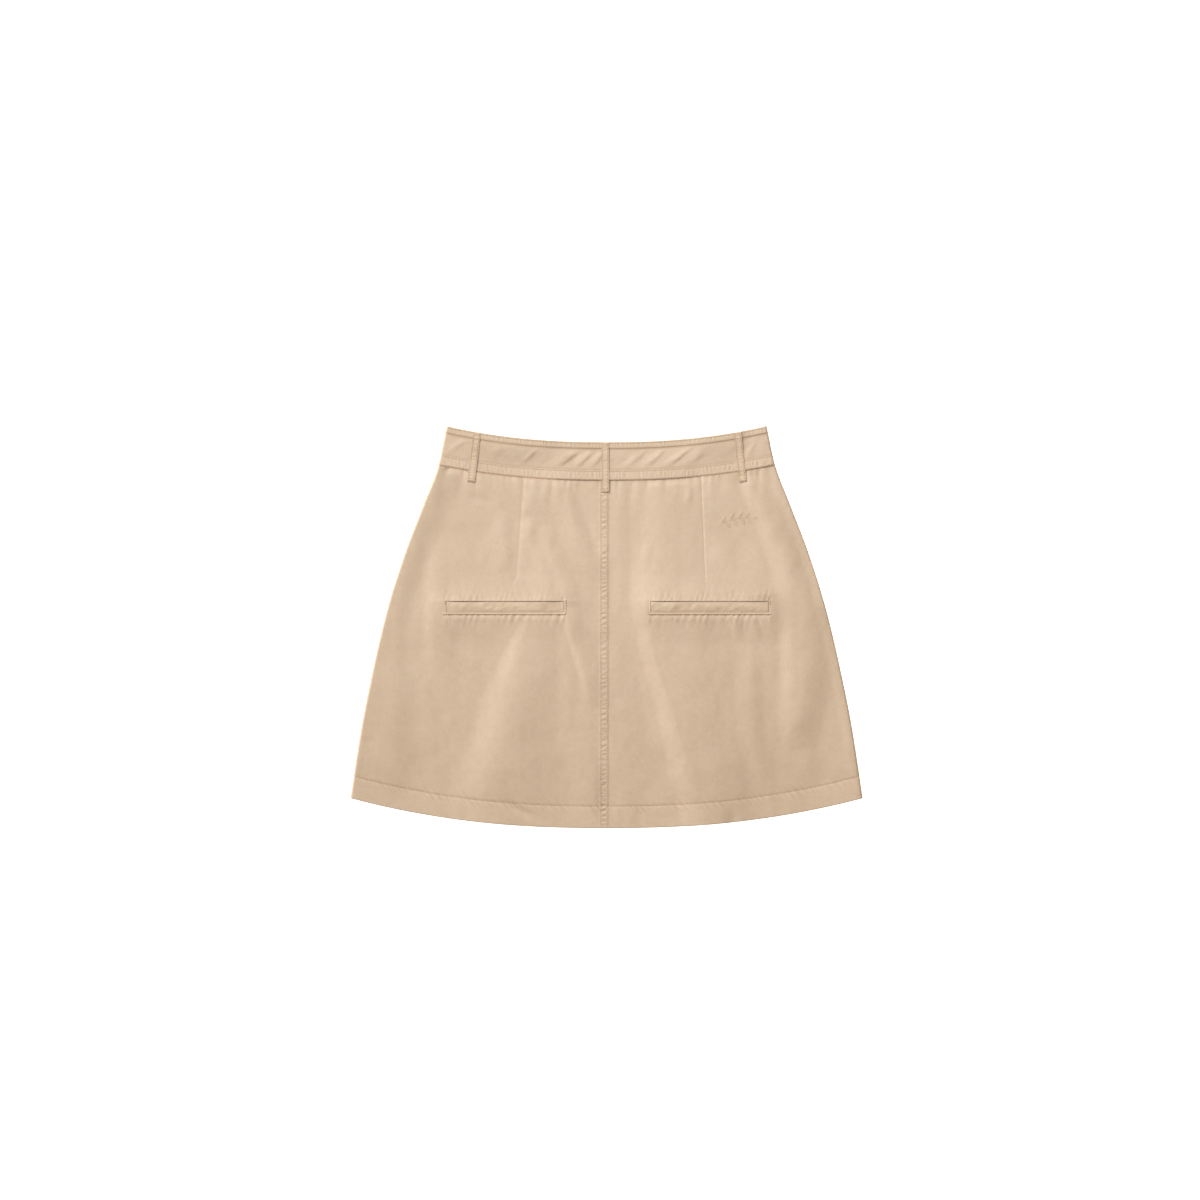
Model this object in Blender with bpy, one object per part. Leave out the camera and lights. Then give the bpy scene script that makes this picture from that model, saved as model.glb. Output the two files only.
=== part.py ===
"""A-line utility skirt in cotton twill, laid flat with its back up.

Sizes are in millimetres and are turned into metres where the meshes are made.
X runs to the wearer's right, Y up to the waist and Z up from the table. "Up" is
the height above the hem at the centre back, measured along Y.
The origin is at the middle of the skirt's outline, on the table.
"""

from collections import namedtuple
from math import radians

import bpy
import numpy as np

MM = 0.001

# Driving sizes of the finished skirt, laid flat
WAIST_FLAT = 330.0
HEM_FLAT = 528.0
CENTRE_BACK = 398.0
WAISTBAND_DEEP = 40.0
HEM_DEEP = 23.2
SIDE_LONG = 414.5  # height of the waist's side corner above the hem at the centre

# How far the hem, the waist seam and the waist's top edge sweep up at the sides
HEM_SWEEP = 31.0
SEAM_SWEEP = 16.0
TOP_SWEEP = SIDE_LONG - CENTRE_BACK
SWEEP_POWER = 2.3
WAIST_SEAM = CENTRE_BACK - WAISTBAND_DEEP
MID_UP = SIDE_LONG / 2

# Walls and levels above the table
WALL = 1.2
BAND_WALL = 2.0
LAP_WALL = 1.0
GAP = 0.3
FRONT_BAND_TOP = 2 * LAP_WALL + GAP
SIDE_SEAM_Z = 2.5
ROLL = 2.5
ROLL_COLUMNS = 4
ROLL_BAND_WALL = 1.7
SKIN_Z = 3.2
BAND_Z = FRONT_BAND_TOP + GAP + BAND_WALL

# Raised seams: the turned hem, the felled centre seam and the waistband's two edges
HEM_RAISE = 0.5
STRIP_RAISE = 0.6
BAND_RAISE = 0.5
STEP = 0.8
LOWER_STRIP = 10.3
TOP_STRIP = 6.7
TUCK_IN = 8.0
TUCK_Z = 3.7

# Back seam, darts, welt pockets
CENTRE_SEAM = 2.2
STRIP_WIDE = 8.3
DART_TIP = 238.0
DART_WIDE = 1.6
DART_DEEP = 0.4
DART_FADE = 30.0
WELT_LOW = 222.0
WELT_HIGH = 233.9
WELT_MOUTH = 0.8
WELT_WALL = 1.5
WELT_PUFF = 0.3
POCKET_SWELL = 0.9
SWELL_ABOVE = 34.0
SWELL_BELOW = 20.0
SWELL_ENDS = 16.0

# Belt loops and the waist button
LOOP_WIDE = 7.9
LOOP_LONG = 51.6
LOOP_WALL = 1.3
LOOP_SLACK = 0.6
LOOP_INSET = 0.6
LOOP_STEP = 2.5
LAP_LONG = 36.0
BUTTON_WIDE = 15.0
BUTTON_SIDES = 32

# How finely the grids are cut: columns between two lines, and heights between two rows
SIDE_COLUMNS = 5
DART_COLUMNS = 5
SEAM_COLUMNS = 4
FRONT_COLUMNS = 8
WELT_COLUMNS = 14
ROW_PITCH = 13.0
FRONT_ROW_PITCH = 24.0
DRAG_PITCH = 4.0
BAND_PITCH = 9.5

# Half the skirt's width at heights along its side
SideSection = namedtuple("SideSection", "name up half_width")
SIDE_SECTIONS = (
    SideSection("hem corner", HEM_SWEEP, HEM_FLAT / 2),
    SideSection("low", 103.0, 253.0),
    SideSection("thigh", 165.0, 240.6),
    SideSection("pocket", 227.5, 225.7),
    SideSection("hip", 285.0, 207.6),
    SideSection("high hip", 333.0, 189.3),
    SideSection("waist seam", WAIST_SEAM + SEAM_SWEEP, 173.8),
    SideSection("waist edge", SIDE_LONG, WAIST_FLAT / 2),
)

# Lines that run down each back panel, by their X at the hem, at the pocket and at the waist seam
PanelLine = namedtuple("PanelLine", "name hem pocket waist")
LEFT_LINES = (
    PanelLine("welt outer end", -193.0, -165.0, -139.5),
    PanelLine("dart", -112.0, -95.0, -85.7),
    PanelLine("welt inner end", -52.0, -43.5, -36.0),
)
RIGHT_LINES = (
    PanelLine("welt inner end", 54.0, 45.6, 38.0),
    PanelLine("dart", 118.0, 102.6, 97.4),
    PanelLine("welt outer end", 194.0, 166.8, 139.5),
)

# Folds of the back: the crest's path, the width of its two flanks and its height, at stations
FoldStation = namedtuple("FoldStation", "x up left_flank right_flank height")
FOLDS = {
    "left long fold": (
        FoldStation(-77, 225, 14, 35, 0.0),
        FoldStation(-85, 204, 21, 41, 1.6),
        FoldStation(-97, 132, 31, 54, 2.6),
        FoldStation(-113, 44, 45, 62, 2.5),
        FoldStation(-118, -2, 45, 62, 2.0),
    ),
    "left thin fold": (
        FoldStation(-35, 229, 8, 23, 0.0),
        FoldStation(-26, 199, 9, 25, 0.9),
        FoldStation(-15, 153, 9, 27, 0.9),
        FoldStation(-4, 118, 9, 25, 0.0),
    ),
    "right long fold": (
        FoldStation(72, 361, 47, 62, 1.7),
        FoldStation(64, 271, 43, 62, 1.9),
        FoldStation(50, 214, 21, 103, 2.1),
        FoldStation(66, 117, 15, 113, 2.6),
        FoldStation(93, 49, 21, 93, 2.9),
        FoldStation(115, -2, 33, 52, 2.5),
    ),
    "right side fold": (
        FoldStation(162, 359, 23, 21, 0.6),
        FoldStation(171, 323, 27, 25, 1.8),
        FoldStation(190, 276, 25, 27, 2.1),
        FoldStation(199, 194, 20, 33, 2.2),
        FoldStation(197, 101, 14, 31, 0.0),
    ),
    "left side fold": (
        FoldStation(-135, 355, 31, 41, 0.3),
        FoldStation(-155, 297, 29, 52, 1.1),
        FoldStation(-171, 245, 21, 62, 1.5),
        FoldStation(-178, 194, 19, 82, 1.1),
        FoldStation(-182, 127, 21, 82, 0.0),
    ),
    "long drag line": (
        FoldStation(-48, 355, 11, 10, 0.3),
        FoldStation(-37, 333, 12, 12, 1.0),
        FoldStation(-19, 297, 12, 12, 1.0),
        FoldStation(-3, 251, 12, 12, 0.0),
    ),
    "short drag line": (
        FoldStation(-75, 323, 21, 14, 0.0),
        FoldStation(-63, 276, 27, 14, 1.3),
        FoldStation(-55, 245, 27, 14, 1.3),
        FoldStation(-48, 231, 23, 14, 0.3),
    ),
    "low middle fold": (
        FoldStation(-48, 96, 31, 37, 0.0),
        FoldStation(-27, 39, 41, 41, 0.9),
        FoldStation(-21, -2, 41, 41, 0.7),
    ),
    "low hollow": (
        FoldStation(35, 235, 21, 12, 0.0),
        FoldStation(41, 142, 29, 14, -0.4),
        FoldStation(63, 70, 33, 14, -0.4),
        FoldStation(86, -2, 31, 14, 0.0),
    ),
    "low right fold": (
        FoldStation(237, 142, 27, 12, 0.0),
        FoldStation(228, 80, 35, 21, 0.9),
        FoldStation(226, -2, 45, 25, 0.7),
    ),
}
FOLD_FADE = 12.0

# Swell of the cloth along its side edges, by height: how high and how far in it reaches
SideSwell = namedtuple("SideSwell", "up height reach")
SIDE_SWELLS = (
    SideSwell(0, 1.3, 22),
    SideSwell(105, 1.3, 25),
    SideSwell(185, 1.4, 27),
    SideSwell(310, 1.6, 27),
    SideSwell(360, 1.5, 25),
)
SWELL_FLAT = 7.0

# Slanting drag lines of the waistband: X where each meets the lower and the top strip
BandDrag = namedtuple("BandDrag", "low_x high_x flank height")
BAND_DRAGS = (
    BandDrag(-152, -138, 7, 0.3),
    BandDrag(-92, -74, 7, 0.3),
    BandDrag(-69, -40, 6, 0.5),
    BandDrag(-52, -29, 6, 0.4),
    BandDrag(-36, -20, 5, 0.4),
    BandDrag(-17, -5, 5, 0.4),
    BandDrag(18, 36, 6, 0.3),
    BandDrag(40, 62, 7, 0.4),
    BandDrag(58, 84, 8, 0.3),
)
DRAGS_REACH = 96.0

# Belt loops: X of the middle of each end
BeltLoop = namedtuple("BeltLoop", "name top_x end_x")
BELT_LOOPS = (
    BeltLoop("loop_left", -133.1, -139.5),
    BeltLoop("loop_centre", -1.2, -1.2),
    BeltLoop("loop_right", 134.9, 140.5),
)

# Colours of the cloth and of the button, roughness, metal
TWILL = ("khaki twill", (0.62, 0.46, 0.33), 0.85, 0.0)
TWILL_EDGE = ("khaki twill, turned edges", (0.60, 0.44, 0.31), 0.85, 0.0)
BUTTON_FINISH = ("horn button", (0.45, 0.33, 0.22), 0.4, 0.0)


# ---------------------------------------------------------------- curves and folds


def curve(at, places, values):
    """Smooth monotone cubic through the values at the places, level past its ends."""
    places = np.asarray(places, float)
    values = np.asarray(values, float)
    order = np.argsort(places)
    places, values = places[order], values[order]
    slopes = np.diff(values) / np.diff(places)
    total = slopes[1:] + slopes[:-1]
    same_way = slopes[1:] * slopes[:-1] > 0
    middle = np.where(same_way, 2 * slopes[1:] * slopes[:-1] / np.where(same_way, total, 1), 0)
    bends = np.concatenate([slopes[:1], middle, slopes[-1:]])
    at = np.clip(at, places[0], places[-1])
    i = np.clip(np.searchsorted(places, at, side="right") - 1, 0, len(places) - 2)
    width = places[i + 1] - places[i]
    t = (at - places[i]) / width
    ends = ((2 * t - 3) * t * t + 1) * values[i] + (3 - 2 * t) * t * t * values[i + 1]
    return ends + ((t - 2) * t + 1) * t * width * bends[i] + (t - 1) * t * t * width * bends[i + 1]


def ease(t):
    """0 below 0, 1 above 1 and an S between."""
    t = np.clip(t, 0, 1)
    return t * t * (3 - 2 * t)


def hump(t):
    """1 at 0, falling in a half cosine to 0 at 1 and past it."""
    return 0.5 * (1 + np.cos(np.pi * np.clip(np.abs(t), 0, 1)))


def half_width(side_up):
    return curve(side_up, [s.up for s in SIDE_SECTIONS], [s.half_width for s in SIDE_SECTIONS])


def fold_height(stations, x, up):
    """One fold: a half cosine down each flank from a crest that follows the stations."""
    ups = [s.up for s in stations]
    crest = curve(up, ups, [s.x for s in stations])
    left = curve(up, ups, [s.left_flank for s in stations])
    right = curve(up, ups, [s.right_flank for s in stations])
    height = curve(up, ups, [s.height for s in stations])
    fade = ease(1 - (min(ups) - up) / FOLD_FADE) * ease(1 - (up - max(ups)) / FOLD_FADE)
    aside = x - crest
    return height * fade * hump(aside / np.where(aside < 0, left, right))


def side_swell(x, up):
    """The cloth stands up along its side folds and sinks over the reach of the swell."""
    ups = [s.up for s in SIDE_SWELLS]
    height = curve(up, ups, [s.height for s in SIDE_SWELLS])
    reach = curve(up, ups, [s.reach for s in SIDE_SWELLS])
    inward = half_width(up) - np.abs(x)
    return height * hump(np.maximum(inward - SWELL_FLAT, 0) / reach)


def pocket_swell(x, up, ends):
    """A swell above a welt, which drops away over the welt and below it."""
    low, high = ends
    along = ease((x - low + SWELL_ENDS) / SWELL_ENDS) * ease((high + SWELL_ENDS - x) / SWELL_ENDS)
    above = up - WELT_HIGH
    return POCKET_SWELL * along * hump(above / np.where(above > 0, SWELL_ABOVE, SWELL_BELOW))


def welt_ends(lines):
    """X of a welt's two ends, low end first."""
    ends = [line.pocket for line in lines if line.name.startswith("welt")]
    return min(ends), max(ends)


def skin(x, up):
    """Level of the back's outer face, before its seams are raised."""
    z = SKIN_Z + side_swell(x, up)
    for stations in FOLDS.values():
        z = z + fold_height(stations, x, up)
    for lines in (LEFT_LINES, RIGHT_LINES):
        z = z + pocket_swell(x, up, welt_ends(lines))
    seam = WAIST_SEAM + SEAM_SWEEP * np.abs(x / half_width(WAIST_SEAM + SEAM_SWEEP)) ** SWEEP_POWER
    tuck = ease((up - seam + TUCK_IN) / TUCK_IN)
    inward = half_width(up) - np.abs(x)
    side = ease(1 - (inward - SWELL_FLAT) / SWELL_FLAT)
    return z + tuck * (1 - side) * (TUCK_Z - z)


# ---------------------------------------------------------------- making solids


def collection(name):
    made = bpy.data.collections.new(name)
    bpy.context.scene.collection.children.link(made)
    return made


def finish(spec):
    """A Principled material: name, colour, roughness and metallic."""
    name, colour, roughness, metallic = spec
    if name in bpy.data.materials:
        return bpy.data.materials[name]
    material = bpy.data.materials.new(name)
    material.use_nodes = True
    shader = material.node_tree.nodes["Principled BSDF"]
    shader.inputs["Base Color"].default_value = (*colour, 1.0)
    shader.inputs["Roughness"].default_value = roughness
    shader.inputs["Metallic"].default_value = metallic
    material.diffuse_color = (*colour, 1.0)
    return material


def wall(name, outer, inner, spec, keep=None, faces_down=False):
    """A closed cloth wall: a grid of outer points, its inner points, and a rim round every edge.

    Both grids are rows by columns by (x, up, z), with X rising along a row and up rising
    from row to row. A cell that keep leaves out is a window through the wall.
    """
    rows, columns = outer.shape[:2]
    if keep is None:
        keep = np.ones((rows - 1, columns - 1), bool)
    index = np.arange(rows * columns).reshape(rows, columns)
    far = rows * columns
    padded = np.pad(keep, 1)
    faces = []
    for i, j in zip(*np.nonzero(keep)):
        ring = (index[i, j], index[i, j + 1], index[i + 1, j + 1], index[i + 1, j])
        faces.append(ring)
        faces.append(tuple(far + corner for corner in reversed(ring)))
        beside = (padded[i, j + 1], padded[i + 1, j + 2], padded[i + 2, j + 1], padded[i + 1, j])
        for side, filled in enumerate(beside):
            if not filled:
                start, end = ring[side], ring[(side + 1) % 4]
                faces.append((end, start, far + start, far + end))
    if faces_down:
        faces = [tuple(reversed(face)) for face in faces]
    points = np.concatenate([outer.reshape(-1, 3), inner.reshape(-1, 3)])
    points = (points - (0.0, MID_UP, 0.0)) * MM
    mesh = bpy.data.meshes.new(name)
    mesh.from_pydata(points.tolist(), [], [tuple(int(k) for k in face) for face in faces])
    mesh.materials.append(finish(spec))
    mesh.shade_smooth()
    mesh.set_sharp_from_angle(angle=radians(40))
    made = bpy.data.objects.new(name, mesh)
    SKIRT.objects.link(made)
    return made


def rolled(x, z, inner_z, width, level, roll_wall, sides):
    """A flat grid with columns added that carry its wall round to the side seam at level.

    The outer face follows a quarter ellipse of half-widths ROLL and z - level, and the inner
    face one that is roll_wall smaller. Gives outer X and Z, then inner X and Z.
    """
    grids = [x, z, x, inner_z]
    turn = np.radians(np.linspace(90, 0, ROLL_COLUMNS + 1))[None, :]
    for side in sides:
        last = 0 if side < 0 else -1
        rise = (z[:, last] - level)[:, None]
        inside = np.sign(rise) * (np.abs(rise) - roll_wall)
        out = width[:, None] - ROLL
        added = (
            side * (out + ROLL * np.cos(turn)),
            level + rise * np.sin(turn),
            side * (out + (ROLL - roll_wall) * np.cos(turn)),
            level + inside * np.sin(turn),
        )
        if side < 0:
            grids = [np.concatenate([a[:, ::-1], g[:, 1:]], axis=1) for a, g in zip(added, grids)]
        else:
            grids = [np.concatenate([g[:, :-1], a], axis=1) for a, g in zip(added, grids)]
    return grids


def in_rows(ups, width, x):
    """Up of each point: a panel's rows bend up towards its sides."""
    return ups[:, None] + sweep(ups)[:, None] * np.abs(x / width[:, None]) ** SWEEP_POWER


def sweep(up):
    """How far a row of the panels bends up at the side: level at the pockets."""
    places = (0.0, HEM_DEEP + STEP, WELT_LOW, WELT_HIGH, WAIST_SEAM, CENTRE_BACK)
    return np.interp(up, places, (HEM_SWEEP, HEM_SWEEP, 0.0, 0.0, SEAM_SWEEP, TOP_SWEEP))


def even(start, end, pitch):
    """Values from the start to the end, both in, about a pitch apart."""
    return np.linspace(start, end, round(abs(end - start) / pitch) + 1)


def panel_rows():
    """Heights of a panel's rows, with one at each seam and step."""
    hem = (0.0, HEM_DEEP / 2, HEM_DEEP)
    below = even(HEM_DEEP + STEP, WELT_LOW, ROW_PITCH)
    above = even(DART_TIP, WAIST_SEAM - TUCK_IN, ROW_PITCH)
    tuck = (WAIST_SEAM - TUCK_IN / 2, WAIST_SEAM)
    return np.concatenate([hem, below, [WELT_HIGH], above, tuck])


def line_x(line, ups):
    """X of a panel's line at each row: straight runs, upright beside the welt."""
    places = (0.0, WELT_LOW, WELT_HIGH, WAIST_SEAM)
    return np.interp(ups, places, (line.hem, line.pocket, line.pocket, line.waist))


def spread(start, end, columns):
    """Columns between two lines, with the start but not the end."""
    t = np.arange(columns) / columns
    return start[:, None] * (1 - t) + end[:, None] * t


# ---------------------------------------------------------------- the back


def back_columns(ups, lines, side):
    """X of the flat part's points, row by row from left to right, and the welt window's columns."""
    reach = half_width(ups + sweep(ups)) - ROLL
    runs = []
    if side < 0:
        runs.append(spread(-reach, line_x(lines[0], ups), SIDE_COLUMNS))
    else:
        seam = np.full(len(ups), CENTRE_SEAM + GAP / 2)
        runs.append(spread(seam, line_x(lines[0], ups), SEAM_COLUMNS))
    for line, after in zip(lines, lines[1:]):
        start, end = line_x(line, ups), line_x(after, ups)
        if line.name == "dart":
            start = start + DART_WIDE
        if after.name == "dart":
            runs.append(spread(start, end - DART_WIDE, DART_COLUMNS))
            runs.append((end - DART_WIDE)[:, None])
            runs.append(end[:, None])
        else:
            runs.append(spread(start, end, DART_COLUMNS))
    last = line_x(lines[-1], ups)
    if side < 0:
        strip = CENTRE_SEAM - GAP / 2 - STRIP_WIDE
        runs.append(spread(last, np.full(len(ups), strip - STEP), SEAM_COLUMNS))
        seam = (strip - STEP, strip, strip + STRIP_WIDE / 2, strip + STRIP_WIDE)
        runs.append(np.tile(seam, (len(ups), 1)))
    else:
        runs.append(spread(last, reach, SIDE_COLUMNS))
        runs.append(reach[:, None])
    return np.concatenate(runs, axis=1)


def back_panel(name, lines, side):
    """Half of the back: dart, welt window, hem and, on the left, the felled centre seam."""
    ups = panel_rows()
    width = half_width(ups + sweep(ups))
    x = back_columns(ups, lines, side)
    z = skin(x, in_rows(ups, width, x))
    dart = [line for line in lines if line.name == "dart"][0]
    on_dart = np.abs(x - line_x(dart, ups)[:, None]) < DART_WIDE / 2
    z = z - DART_DEEP * on_dart * np.clip((ups[:, None] - DART_TIP) / DART_FADE, 0, 1)
    inner_z = z - WALL
    z = z + np.where(ups < HEM_DEEP + STEP / 2, HEM_RAISE, 0.0)[:, None]
    if side < 0:
        z = z + np.where(x > CENTRE_SEAM - STRIP_WIDE - STEP, STRIP_RAISE, 0.0)
    level = SIDE_SEAM_Z + GAP / 2
    x, z, inner_x, inner_z = rolled(x, z, inner_z, width, level, WALL, [side])
    up = in_rows(ups, width, x)
    outer = np.stack([x, up, z], axis=-1)
    inner = np.stack([inner_x, up, inner_z], axis=-1)
    low, high = welt_ends(lines)
    middle = (outer[:-1, :-1] + outer[1:, 1:]) / 2
    row = (middle[..., 1] > WELT_LOW) & (middle[..., 1] < WELT_HIGH)
    window = row & (middle[..., 0] > low) & (middle[..., 0] < high)
    return wall(name, outer, inner, TWILL, keep=~window)


def welt(name, lines):
    """The pocket's welt: a puffed strip in its window, open along its upper edge."""
    low, high = welt_ends(lines)
    top = WELT_HIGH - WELT_MOUTH
    ends = np.linspace(low + GAP, high - GAP, WELT_COLUMNS + 1)
    x, up = np.meshgrid(ends, np.linspace(WELT_LOW + GAP, top, 4))
    across = (up - WELT_LOW - GAP) / (top - WELT_LOW - GAP)
    along = (x - low) / (high - low)
    puff = WELT_PUFF * np.sin(np.pi * across) * (1 - (2 * along - 1) ** 8)
    z = skin(x, up) - WELT_PUFF / 2 + puff
    outer = np.stack([x, up, z], axis=-1)
    inner = np.stack([x, up, z - WELT_WALL], axis=-1)
    return wall(name, outer, inner, TWILL_EDGE)


def band_edges(x):
    """Up of the waistband's lower and top edge at each X."""
    seam_width = half_width(WAIST_SEAM + SEAM_SWEEP)
    low = WAIST_SEAM + GAP + SEAM_SWEEP * np.abs(x / seam_width) ** SWEEP_POWER
    high = CENTRE_BACK + TOP_SWEEP * np.abs(x / (WAIST_FLAT / 2)) ** SWEEP_POWER
    return low, high


def band_face(x, above):
    """Level of the waistband's face at a height above its lower edge, with its drag lines."""
    across = (above - LOWER_STRIP) / (WAISTBAND_DEEP - LOWER_STRIP - TOP_STRIP)
    inside = hump(2 * across - 1)
    z = BAND_Z + 0 * x
    for drag in BAND_DRAGS:
        crest = drag.low_x + (drag.high_x - drag.low_x) * across
        z = z + drag.height * inside * hump((x - crest) / drag.flank)
    return z


def band_columns():
    """Columns of the back waistband, close together where it is drawn into drag lines."""
    dense = even(-DRAGS_REACH, DRAGS_REACH, DRAG_PITCH)
    plain = even(DRAGS_REACH, WAIST_FLAT / 2 - ROLL, BAND_PITCH)[1:]
    return np.concatenate([-plain[::-1], dense, plain])


def band_rows():
    """Heights of a waistband's rows as shares of its depth, and how far each row is raised."""
    low = LOWER_STRIP / WAISTBAND_DEEP
    top = 1 - TOP_STRIP / WAISTBAND_DEEP
    step = STEP / WAISTBAND_DEEP
    middle = np.linspace(low + step, top - step, 5)
    shares = np.concatenate([[0, step, low], middle, [top, 1 - step, 1]])
    raised = np.concatenate([[0.2, 1, 1], np.zeros(5), [1, 1, 0.2]]) * BAND_RAISE
    return shares, raised


def band_grid(columns, shares, face, raised, under, level, sides):
    """Outer and inner points of a waistband piece, rolled where it meets a side seam."""
    side_low = WAIST_SEAM + GAP + SEAM_SWEEP
    width = half_width(side_low + (SIDE_LONG - side_low) * shares)
    spread_out = (width[:, None] - ROLL) / (WAIST_FLAT / 2 - ROLL) - 1
    x = columns * (1 + spread_out * np.abs(columns / (WAIST_FLAT / 2 - ROLL)))
    z = face(x, shares[:, None] * WAISTBAND_DEEP) + raised[:, None]
    inner_z = np.full_like(z, under)
    x, z, inner_x, inner_z = rolled(x, z, inner_z, width, level, ROLL_BAND_WALL, sides)
    low, high = band_edges(x)
    up = low + (high - low) * shares[:, None]
    return np.stack([x, up, z], axis=-1), np.stack([inner_x, up, inner_z], axis=-1)


def waistband_back():
    """The shaped band across the back, with its raised top edge and lower strip."""
    shares, raised = band_rows()
    under = BAND_Z - BAND_WALL
    level = SIDE_SEAM_Z + GAP / 2
    outer, inner = band_grid(band_columns(), shares, band_face, raised, under, level, (-1, 1))
    return wall("waistband_back", outer, inner, TWILL)


def belt_loop(spec):
    """A flat loop from the top edge, over the band and its lower edge, sewn down on the panel."""
    high = band_edges(spec.top_x)[1] - LOOP_INSET
    drop = np.sqrt(LOOP_LONG**2 - (spec.end_x - spec.top_x) ** 2)
    edge = (high - band_edges(spec.end_x)[0]) * LOOP_LONG / drop
    on_top = np.linspace(0, TOP_STRIP, 3)
    over = np.linspace(TOP_STRIP + LOOP_STEP, edge - LOWER_STRIP - LOOP_STEP, 5)
    down = (edge - LOWER_STRIP + STEP, edge + STEP, edge + STEP + LOOP_STEP, LOOP_LONG)
    lengths = np.concatenate([on_top, over, down])
    along = lengths / LOOP_LONG
    middle_x = spec.top_x + (spec.end_x - spec.top_x) * along
    middle_up = high - drop * along
    lean = (spec.end_x - spec.top_x) / LOOP_LONG
    across = np.linspace(-0.5, 0.5, 4) * LOOP_WIDE
    x = middle_x[:, None] + across * np.sqrt(1 - lean**2)
    up = middle_up[:, None] + across * lean
    low, _ = band_edges(x)
    on_band = band_face(x, up - low) + BAND_RAISE
    on_panel = skin(x, up) + STRIP_RAISE * (np.abs(x) < STRIP_WIDE)
    rest = np.where(lengths[:, None] < edge + LOOP_STEP, on_band, on_panel).max(axis=1)
    slack = LOOP_SLACK * hump((2 * lengths - edge) / edge)
    under = (rest + GAP + slack)[:, None] + 0 * x
    top = under + LOOP_WALL
    grid = [np.stack([x, up, z], axis=-1)[::-1] for z in (top, under)]
    return wall(spec.name, grid[0], grid[1], TWILL_EDGE)


# ---------------------------------------------------------------- the front, face down


def front_panel(name, side):
    """Half of the front: a plain wall face down on the table, rolled up at its side seam."""
    ups = np.concatenate([[0.0], even(HEM_DEEP, WAIST_SEAM, FRONT_ROW_PITCH)])
    width = half_width(ups + sweep(ups))
    shares = np.sin(np.radians(np.linspace(0, 90, FRONT_COLUMNS + 1)))
    x = side * (GAP / 2 + (width[:, None] - ROLL - GAP / 2) * shares)[:, ::side]
    z = np.zeros_like(x)
    level = SIDE_SEAM_Z - GAP / 2
    x, z, inner_x, inner_z = rolled(x, z, z + WALL, width, level, WALL, [side])
    up = in_rows(ups, width, x)
    outer = np.stack([x, up, z], axis=-1)
    inner = np.stack([inner_x, up, inner_z], axis=-1)
    return wall(name, outer, inner, TWILL, faces_down=True)


def table_face(x, above):
    """The table side of a front waistband: level with the table."""
    return 0 * (x + above)


def waistband_front(name, side, tip, root):
    """Half of the front band. Its lap runs from the tip, past the centre, to the root."""
    shares = np.linspace(0, 1, 4)
    full = root + GAP
    columns = np.concatenate([[tip, root], even(full, WAIST_FLAT / 2 - ROLL, FRONT_ROW_PITCH)])
    columns = side * columns[::side]
    level = SIDE_SEAM_Z - GAP / 2
    flat = np.zeros_like(shares)
    outer, inner = band_grid(columns, shares, table_face, flat, FRONT_BAND_TOP, level, [side])
    in_lap = side * outer[..., 0] < root + GAP / 2
    if side > 0:
        inner[in_lap, 2] = LAP_WALL
    else:
        outer[in_lap, 2] = LAP_WALL + GAP
    return wall(name, outer, inner, TWILL, faces_down=True)


def round_piece(name, x, up, low, high, wide, into):
    """A disc or a round cutter, standing on its low face."""
    bpy.ops.mesh.primitive_cylinder_add(
        vertices=BUTTON_SIDES,
        radius=wide / 2 * MM,
        depth=(high - low) * MM,
        location=(x * MM, (up - MID_UP) * MM, (low + high) / 2 * MM),
    )
    made = bpy.context.object
    made.name = made.data.name = name
    for home in list(made.users_collection):
        home.objects.unlink(made)
    into.objects.link(made)
    return made


def waist_button(over_lap, cutters):
    """A flat button level with the over lap, in a round hole through that lap."""
    up = CENTRE_BACK - WAISTBAND_DEEP / 2
    made = round_piece("button", 0.0, up, 0.0, LAP_WALL, BUTTON_WIDE, SKIRT)
    made.data.materials.append(finish(BUTTON_FINISH))
    hole = round_piece("button_hole", 0.0, up, -1.0, LAP_WALL + GAP / 2, BUTTON_WIDE + 2 * GAP, cutters)
    hole.hide_render = True
    hole.display_type = "WIRE"
    cut = over_lap.modifiers.new("button hole", "BOOLEAN")
    cut.operation = "DIFFERENCE"
    cut.object = hole
    return made


# ---------------------------------------------------------------- the skirt

for old in list(bpy.data.objects):
    bpy.data.objects.remove(old, do_unlink=True)

SKIRT = collection("utility skirt")
CUTTERS = collection("cutters")

back_panel("back_left", LEFT_LINES, -1)
back_panel("back_right", RIGHT_LINES, 1)
welt("welt_left", LEFT_LINES)
welt("welt_right", RIGHT_LINES)
waistband_back()
for loop in BELT_LOOPS:
    belt_loop(loop)
front_panel("front_left", -1)
front_panel("front_right", 1)
waistband_front("waistband_front_left", -1, GAP - LAP_LONG / 2, LAP_LONG / 2 + GAP)
over_lap = waistband_front("waistband_front_right", 1, -LAP_LONG / 2, LAP_LONG / 2)
waist_button(over_lap, CUTTERS)
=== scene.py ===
"""Dressed model of an A-line utility skirt, laid flat with its back up.

Laid out as a Blender add-on and run as a script. Lengths in the shape functions are
millimetres: X runs to the wearer's right, "up" is the height above the hem at the centre
back and Z stands up from the table. A row of a panel is named by its height at the centre.
"""

from collections import namedtuple
from math import radians

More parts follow.
